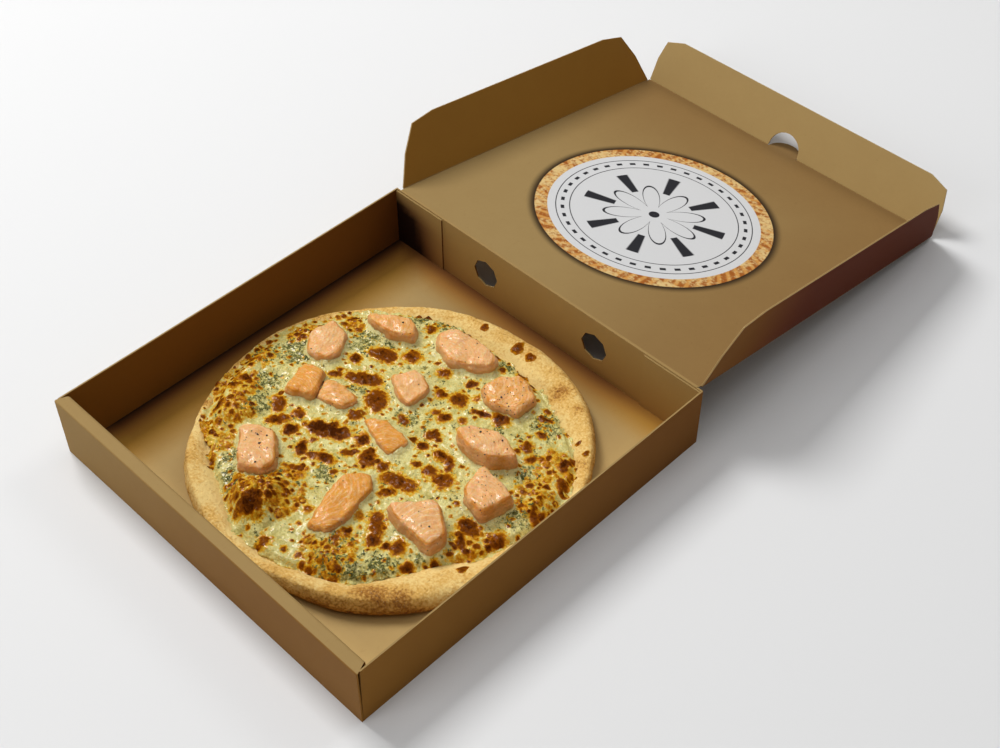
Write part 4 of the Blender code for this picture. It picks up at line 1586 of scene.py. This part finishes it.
@dataclass(frozen=True)
class Scraps(Finish):
    """Small bits in two tones that vary from one to the next."""

    name: str
    dark: Colour
    bright: Colour
    blotches: float
    low: float
    high: float
    depth: float
    roughness: float
    specular: float = 0.5

    def paint(self, g: Graph, shader: bpy.types.Node) -> None:
        """Mixes the tones by blotches."""
        mottle = g.mottle(self.blotches, 0.5)
        colour = g.layers(self.dark, (self.bright, mottle, self.low, self.high, 1.0))
        shine = {"Roughness": self.roughness, "Specular_IOR_Level": self.specular}
        self.coat(g, shader, colour, mottle, self.depth, 0.5, **shine)


LEAF = Scraps("cooked_spinach", (0.060, 0.070, 0.014), (0.230, 0.225, 0.060), 160.0, 0.35, 0.65, 0.0003, 0.45, 0.15)
PEPPER = Scraps("black_pepper", (0.012, 0.010, 0.009), (0.060, 0.035, 0.020), 900.0, 0.5, 0.7, 0.0001, 0.6)


@dataclass
class Scatter:
    """Small scraps laid on the finished topping: spinach, pepper and browned blisters on the rim."""

    plan: PizzaPlan
    leaves: int = 1250
    # a leaf needs this much green, and lies on nothing steeper or higher than this
    least_green: float = 0.30
    least_level: float = 0.6
    highest: float = 0.0245
    leaf_length: tuple[float, float] = (0.0006, 0.0020)
    leaf_breadth: tuple[float, float] = (0.0005, 0.0012)
    leaf_thickness: float = 0.00018
    leaf_corners: int = 8
    grains: int = 230
    grain_radius: tuple[float, float] = (0.00028, 0.00052)
    marked_radius: tuple[float, float] = (0.0007, 0.0011)
    on_fish: float = 0.62
    # the blocks that hold most of the pepper, some of them more than once
    peppered: tuple[int, ...] = (1, 2, 6, 8, 9, 9, 11, 12, 6, 8, 12)
    # the rings of a blister on the rim, and the points of each
    rings: int = 7
    around: int = 28
    # larger cracked grains that show on the fish and the cheese, in millimetres
    marked_grains: tuple[tuple[float, float], ...] = (
        (-48, -75), (-36, -88), (43, 79), (53, 77), (29, 63), (-37, 36), (-67, 1), (1, -43), (-34, -53),
        (-56, -70), (-65, 81), (77, 46), (15, -63), (76, 83), (95, -43), (60, 41), (-50, -66),
    )

    def build(self) -> None:
        """Makes each kind as one joined mesh."""
        bpy.context.view_layer.update()
        ends = ("_topping", "_fillet", "crust_dough")
        self.tree = tree_over((o.data for o in bpy.data.objects if o.name.endswith(ends)), 4)
        self.build_leaves()
        self.build_pepper()
        self.build_blisters()

    def land(self, x: float, y: float) -> tuple[Vector, Vector] | None:
        """Where something dropped at x, y comes to rest, and the surface's normal there."""
        hit = self.tree.ray_cast(Vector((x, y, OVERHEAD)), DOWN)
        return None if hit[0] is None else (hit[0], hit[1])

    def build_leaves(self) -> None:
        """Crumpled scraps of spinach leaf in the green parts."""
        rng = np.random.default_rng(71)
        points, faces = [], []
        topping = bpy.data.objects["cheese_topping"]
        green = np.empty(len(topping.data.vertices), np.float32)
        topping.data.attributes["green"].data.foreach_get("value", green)
        places = points_of(topping)
        wanted = np.clip(green - self.least_green, 0, 1)
        for k in rng.choice(len(places), self.leaves, replace=False, p=wanted / wanted.sum()):
            found = self.land(places[k, 0], places[k, 1])
            if found and found[1].z >= self.least_level and found[0].z <= self.highest:
                self.add_leaf(rng, *found, points, faces)
        piece = new_piece("spinach_scraps", np.array(points), faces)
        dress(piece, LEAF.material(), "box", "cheese")

    def add_leaf(self, rng: np.random.Generator, at: Vector, normal: Vector, points: list, faces: list) -> None:
        """Adds one crumpled scrap, about 1 to 5 mm long, half sunk in the cheese."""
        length, breadth = rng.uniform(*self.leaf_length), rng.uniform(*self.leaf_breadth)
        thick, ring, start = self.leaf_thickness, self.leaf_corners, len(points)
        turn = rng.uniform(0, TURN)
        tilt = Vector((rng.normal(0, 0.35), rng.normal(0, 0.35), 1)) + normal
        up = tilt.normalized()
        side = up.cross(Vector((math.cos(turn), math.sin(turn), 0))).normalized()
        ahead = side.cross(up)
        lift = rng.uniform(-0.00025, 0.00012)
        for layer in (0.0, 1.0):
            for k in range(ring):
                angle = TURN * k / ring
                wobble = 1 + 0.35 * math.sin(3 * angle + turn * 5) + rng.normal(0, 0.1)
                curl = 0.00045 * math.cos(2 * angle + turn)
                offset = ahead * (length * wobble * math.cos(angle)) + side * (breadth * wobble * math.sin(angle))
                points.append(at + offset + up * (lift + curl + layer * thick - thick))
            points.append(at + up * (lift + layer * thick - thick))
        upper = start + ring + 1
        faces += turned(fan(start + ring, start, ring)) + fan(upper + ring, upper, ring) + band(upper, start, ring)

    def build_pepper(self) -> None:
        """Cracked grains, mostly on the fish."""
        rng = np.random.default_rng(83)
        points, faces = [], []
        places = [(x * MM, y * MM, rng.uniform(*self.marked_radius)) for x, y in self.marked_grains]
        fish = [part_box(name) for name in salmon_nodes()]
        for _ in range(self.grains):
            if rng.random() < self.on_fish:
                low, high = fish[rng.choice(self.peppered)]
                x, y = rng.uniform(low.x, high.x), rng.uniform(low.y, high.y)
            else:
                turn, away = rng.uniform(0, TURN), 0.118 * math.sqrt(rng.random())
                x, y = aside(self.plan.centre, away, turn)
            places.append((x, y, rng.uniform(*self.grain_radius)))
        for x, y, size in places:
            found = self.land(x, y)
            if found is None:
                continue
            bm = bmesh.new()
            bmesh.ops.create_icosphere(bm, subdivisions=1, radius=size)
            start = len(points)
            stretch = Vector(rng.uniform(0.7, 1.2, 3))
            for vert in bm.verts:
                offset = vert.co * stretch * (1 + rng.normal(0, 0.14))
                points.append(found[0] + offset + found[1] * size * 0.35)
            faces += [tuple(start + v.index for v in f.verts) for f in bm.faces]
            bm.free()
        piece = new_piece("pepper_grains", np.array(points), faces)
        dress(piece, PEPPER.material(), "box", "cheese")

    def build_blisters(self) -> None:
        """Drops of browned cheese on the bare rim."""
        rng = np.random.default_rng(97)
        points, faces, bake = [], [], []
        for cx, cy, size in RIM_BLISTERS:
            self.add_blister(rng, (cx * MM, cy * MM), size * MM, points, faces, bake)
        piece = new_piece("rim_blisters", np.array(points), faces)
        tag(piece, "bake", np.array(bake))
        tag(piece, "gold", np.full(len(bake), 0.6))
        for name in ("green", "cream"):
            tag(piece, name, np.zeros(len(bake)))
        dress(piece, MeltedCheese().material(), "box", "cheese")

    def add_blister(
        self, rng: np.random.Generator, centre: tuple[float, float], size: float, points: list, faces: list, bake: list
    ) -> None:
        """Adds one low, wobbly dome that follows the crust under it."""
        rings, around, start = self.rings, self.around, len(points)
        turn, long = rng.uniform(0, math.pi), rng.uniform(1.0, 1.4)
        for share in [*np.linspace(1 / rings, 1, rings), 1.02]:
            for angle in np.arange(around) * TURN / around:
                wobble = 1 + 0.10 * math.sin(3 * angle + turn) + 0.06 * math.sin(5 * angle + 2 * turn)
                dx, dy = size * share * wobble * long * math.cos(angle), size * share * wobble * math.sin(angle)
                x = centre[0] + dx * math.cos(turn) - dy * math.sin(turn)
                y = centre[1] + dx * math.sin(turn) + dy * math.cos(turn)
                ground = self.land(x, y)
                level = ground[0].z if ground else 0.012
                rise = 0.25 * size * max(1 - share**2, 0) ** 0.7 if share <= 1 else -0.0007
                points.append(Vector((x, y, level + rise)))
                bake.append(max(0.9 - 0.62 * share**2 + rng.normal(0, 0.04), 0.1))
        top = len(points)
        points.append(Vector((*centre, points[start].z)))
        bake.append(0.95)
        last = start + rings * around
        faces += fan(top, start, around)
        faces += [face for a in range(start, last, around) for face in band(a, a + around, around)]
        faces.append(tuple(range(last, last + around))[::-1])


# ---------------------------------------------------------------- studio


@dataclass(frozen=True)
class StudioPaper(Finish):
    """The pale floor."""

    name: str = "studio_paper"
    white: Colour = (0.74, 0.74, 0.74)
    shade: Colour = (0.7, 0.7, 0.7)

    def paint(self, g: Graph, shader: bpy.types.Node) -> None:
        """Matt white with the faintest mottling."""
        colour = g.mix(g.mottle(2.0, 0.2) * 0.04, self.white, self.shade)
        self.coat(g, shader, colour, Roughness=0.9, Specular_IOR_Level=0.0)


@dataclass
class Studio:
    """Floor, soft lights and camera."""

    eye: tuple[float, float, float] = (0.5802, -0.4657, 0.8572)
    pitch: float = 46.532
    bearing: float = 44.656
    lens: float = 55.317
    sensor: float = 36.0
    reach: float = 6.0
    sky: float = 0.222
    # each light's name, place, side and power
    lights: tuple[tuple[str, tuple[float, float, float], float, float], ...] = (
        ("key", (-1.82, 0.08, 2.50), 1.15, 71.0), ("back", (0.25, 2.5, 2.6), 0.9, 13.0),
        ("top", (0.1, -0.2, 3.2), 2.6, 20.0), ("front", (-0.6, -2.9, 1.5), 1.6, 24.0),
    )

    def build(self) -> None:
        """Sets up everything that isn't part of the object."""
        low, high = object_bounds()
        corners = [(sx * self.reach, sy * self.reach, low.z) for sx, sy in ((-1, -1), (1, -1), (1, 1), (-1, 1))]
        floor = new_piece("studio_floor", np.array(corners), [(0, 1, 2, 3)])
        floor.data.materials.append(StudioPaper().material())
        floor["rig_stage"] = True
        for name, place, size, power in self.lights:
            self.light(name, Vector(place), (low + high) / 2, size, power)
        world = bpy.data.worlds.new("studio")
        world.use_nodes = True
        background = world.node_tree.nodes["Background"]
        background.inputs["Color"].default_value = (1.0, 1.0, 1.0, 1.0)
        background.inputs["Strength"].default_value = self.sky
        bpy.context.scene.world = world
        camera = add_object("camera", bpy.data.cameras.new("camera"))
        camera.data.lens, camera.data.sensor_width = self.lens, self.sensor
        camera.data.clip_start, camera.data.clip_end = 0.01, 20.0
        camera.location = self.eye
        camera.rotation_euler = (math.radians(90 - self.pitch), 0.0, math.radians(self.bearing))
        bpy.context.scene.camera = camera
        view = bpy.context.scene.view_settings
        view.view_transform, view.look = "Standard", "None"

    @staticmethod
    def light(name: str, place: Vector, target: Vector, size: float, power: float) -> None:
        """Adds a square soft light.

        Args:
            name: The light's name.
            place: Where it stands.
            target: What it points at.
            size: Its side in metres.
            power: In watts.
        """
        data = bpy.data.lights.new(name, "AREA")
        data.shape, data.size, data.energy = "SQUARE", size, power
        light = add_object(name, data)
        light.location = place
        light.rotation_euler = (target - place).to_track_quat("-Z", "Y").to_euler()


def main() -> None:
    """Builds the box, the pizza and the studio."""
    logging.basicConfig(level=logging.INFO, format="%(name)s: %(message)s")
    Tray().build()
    Lid().build()
    plan = PizzaPlan()
    Crust(plan).build()
    Topping(plan).build()
    Salmon().build()
    Scatter(plan).build()
    Studio().build()


if __name__ == "__main__":
    main()
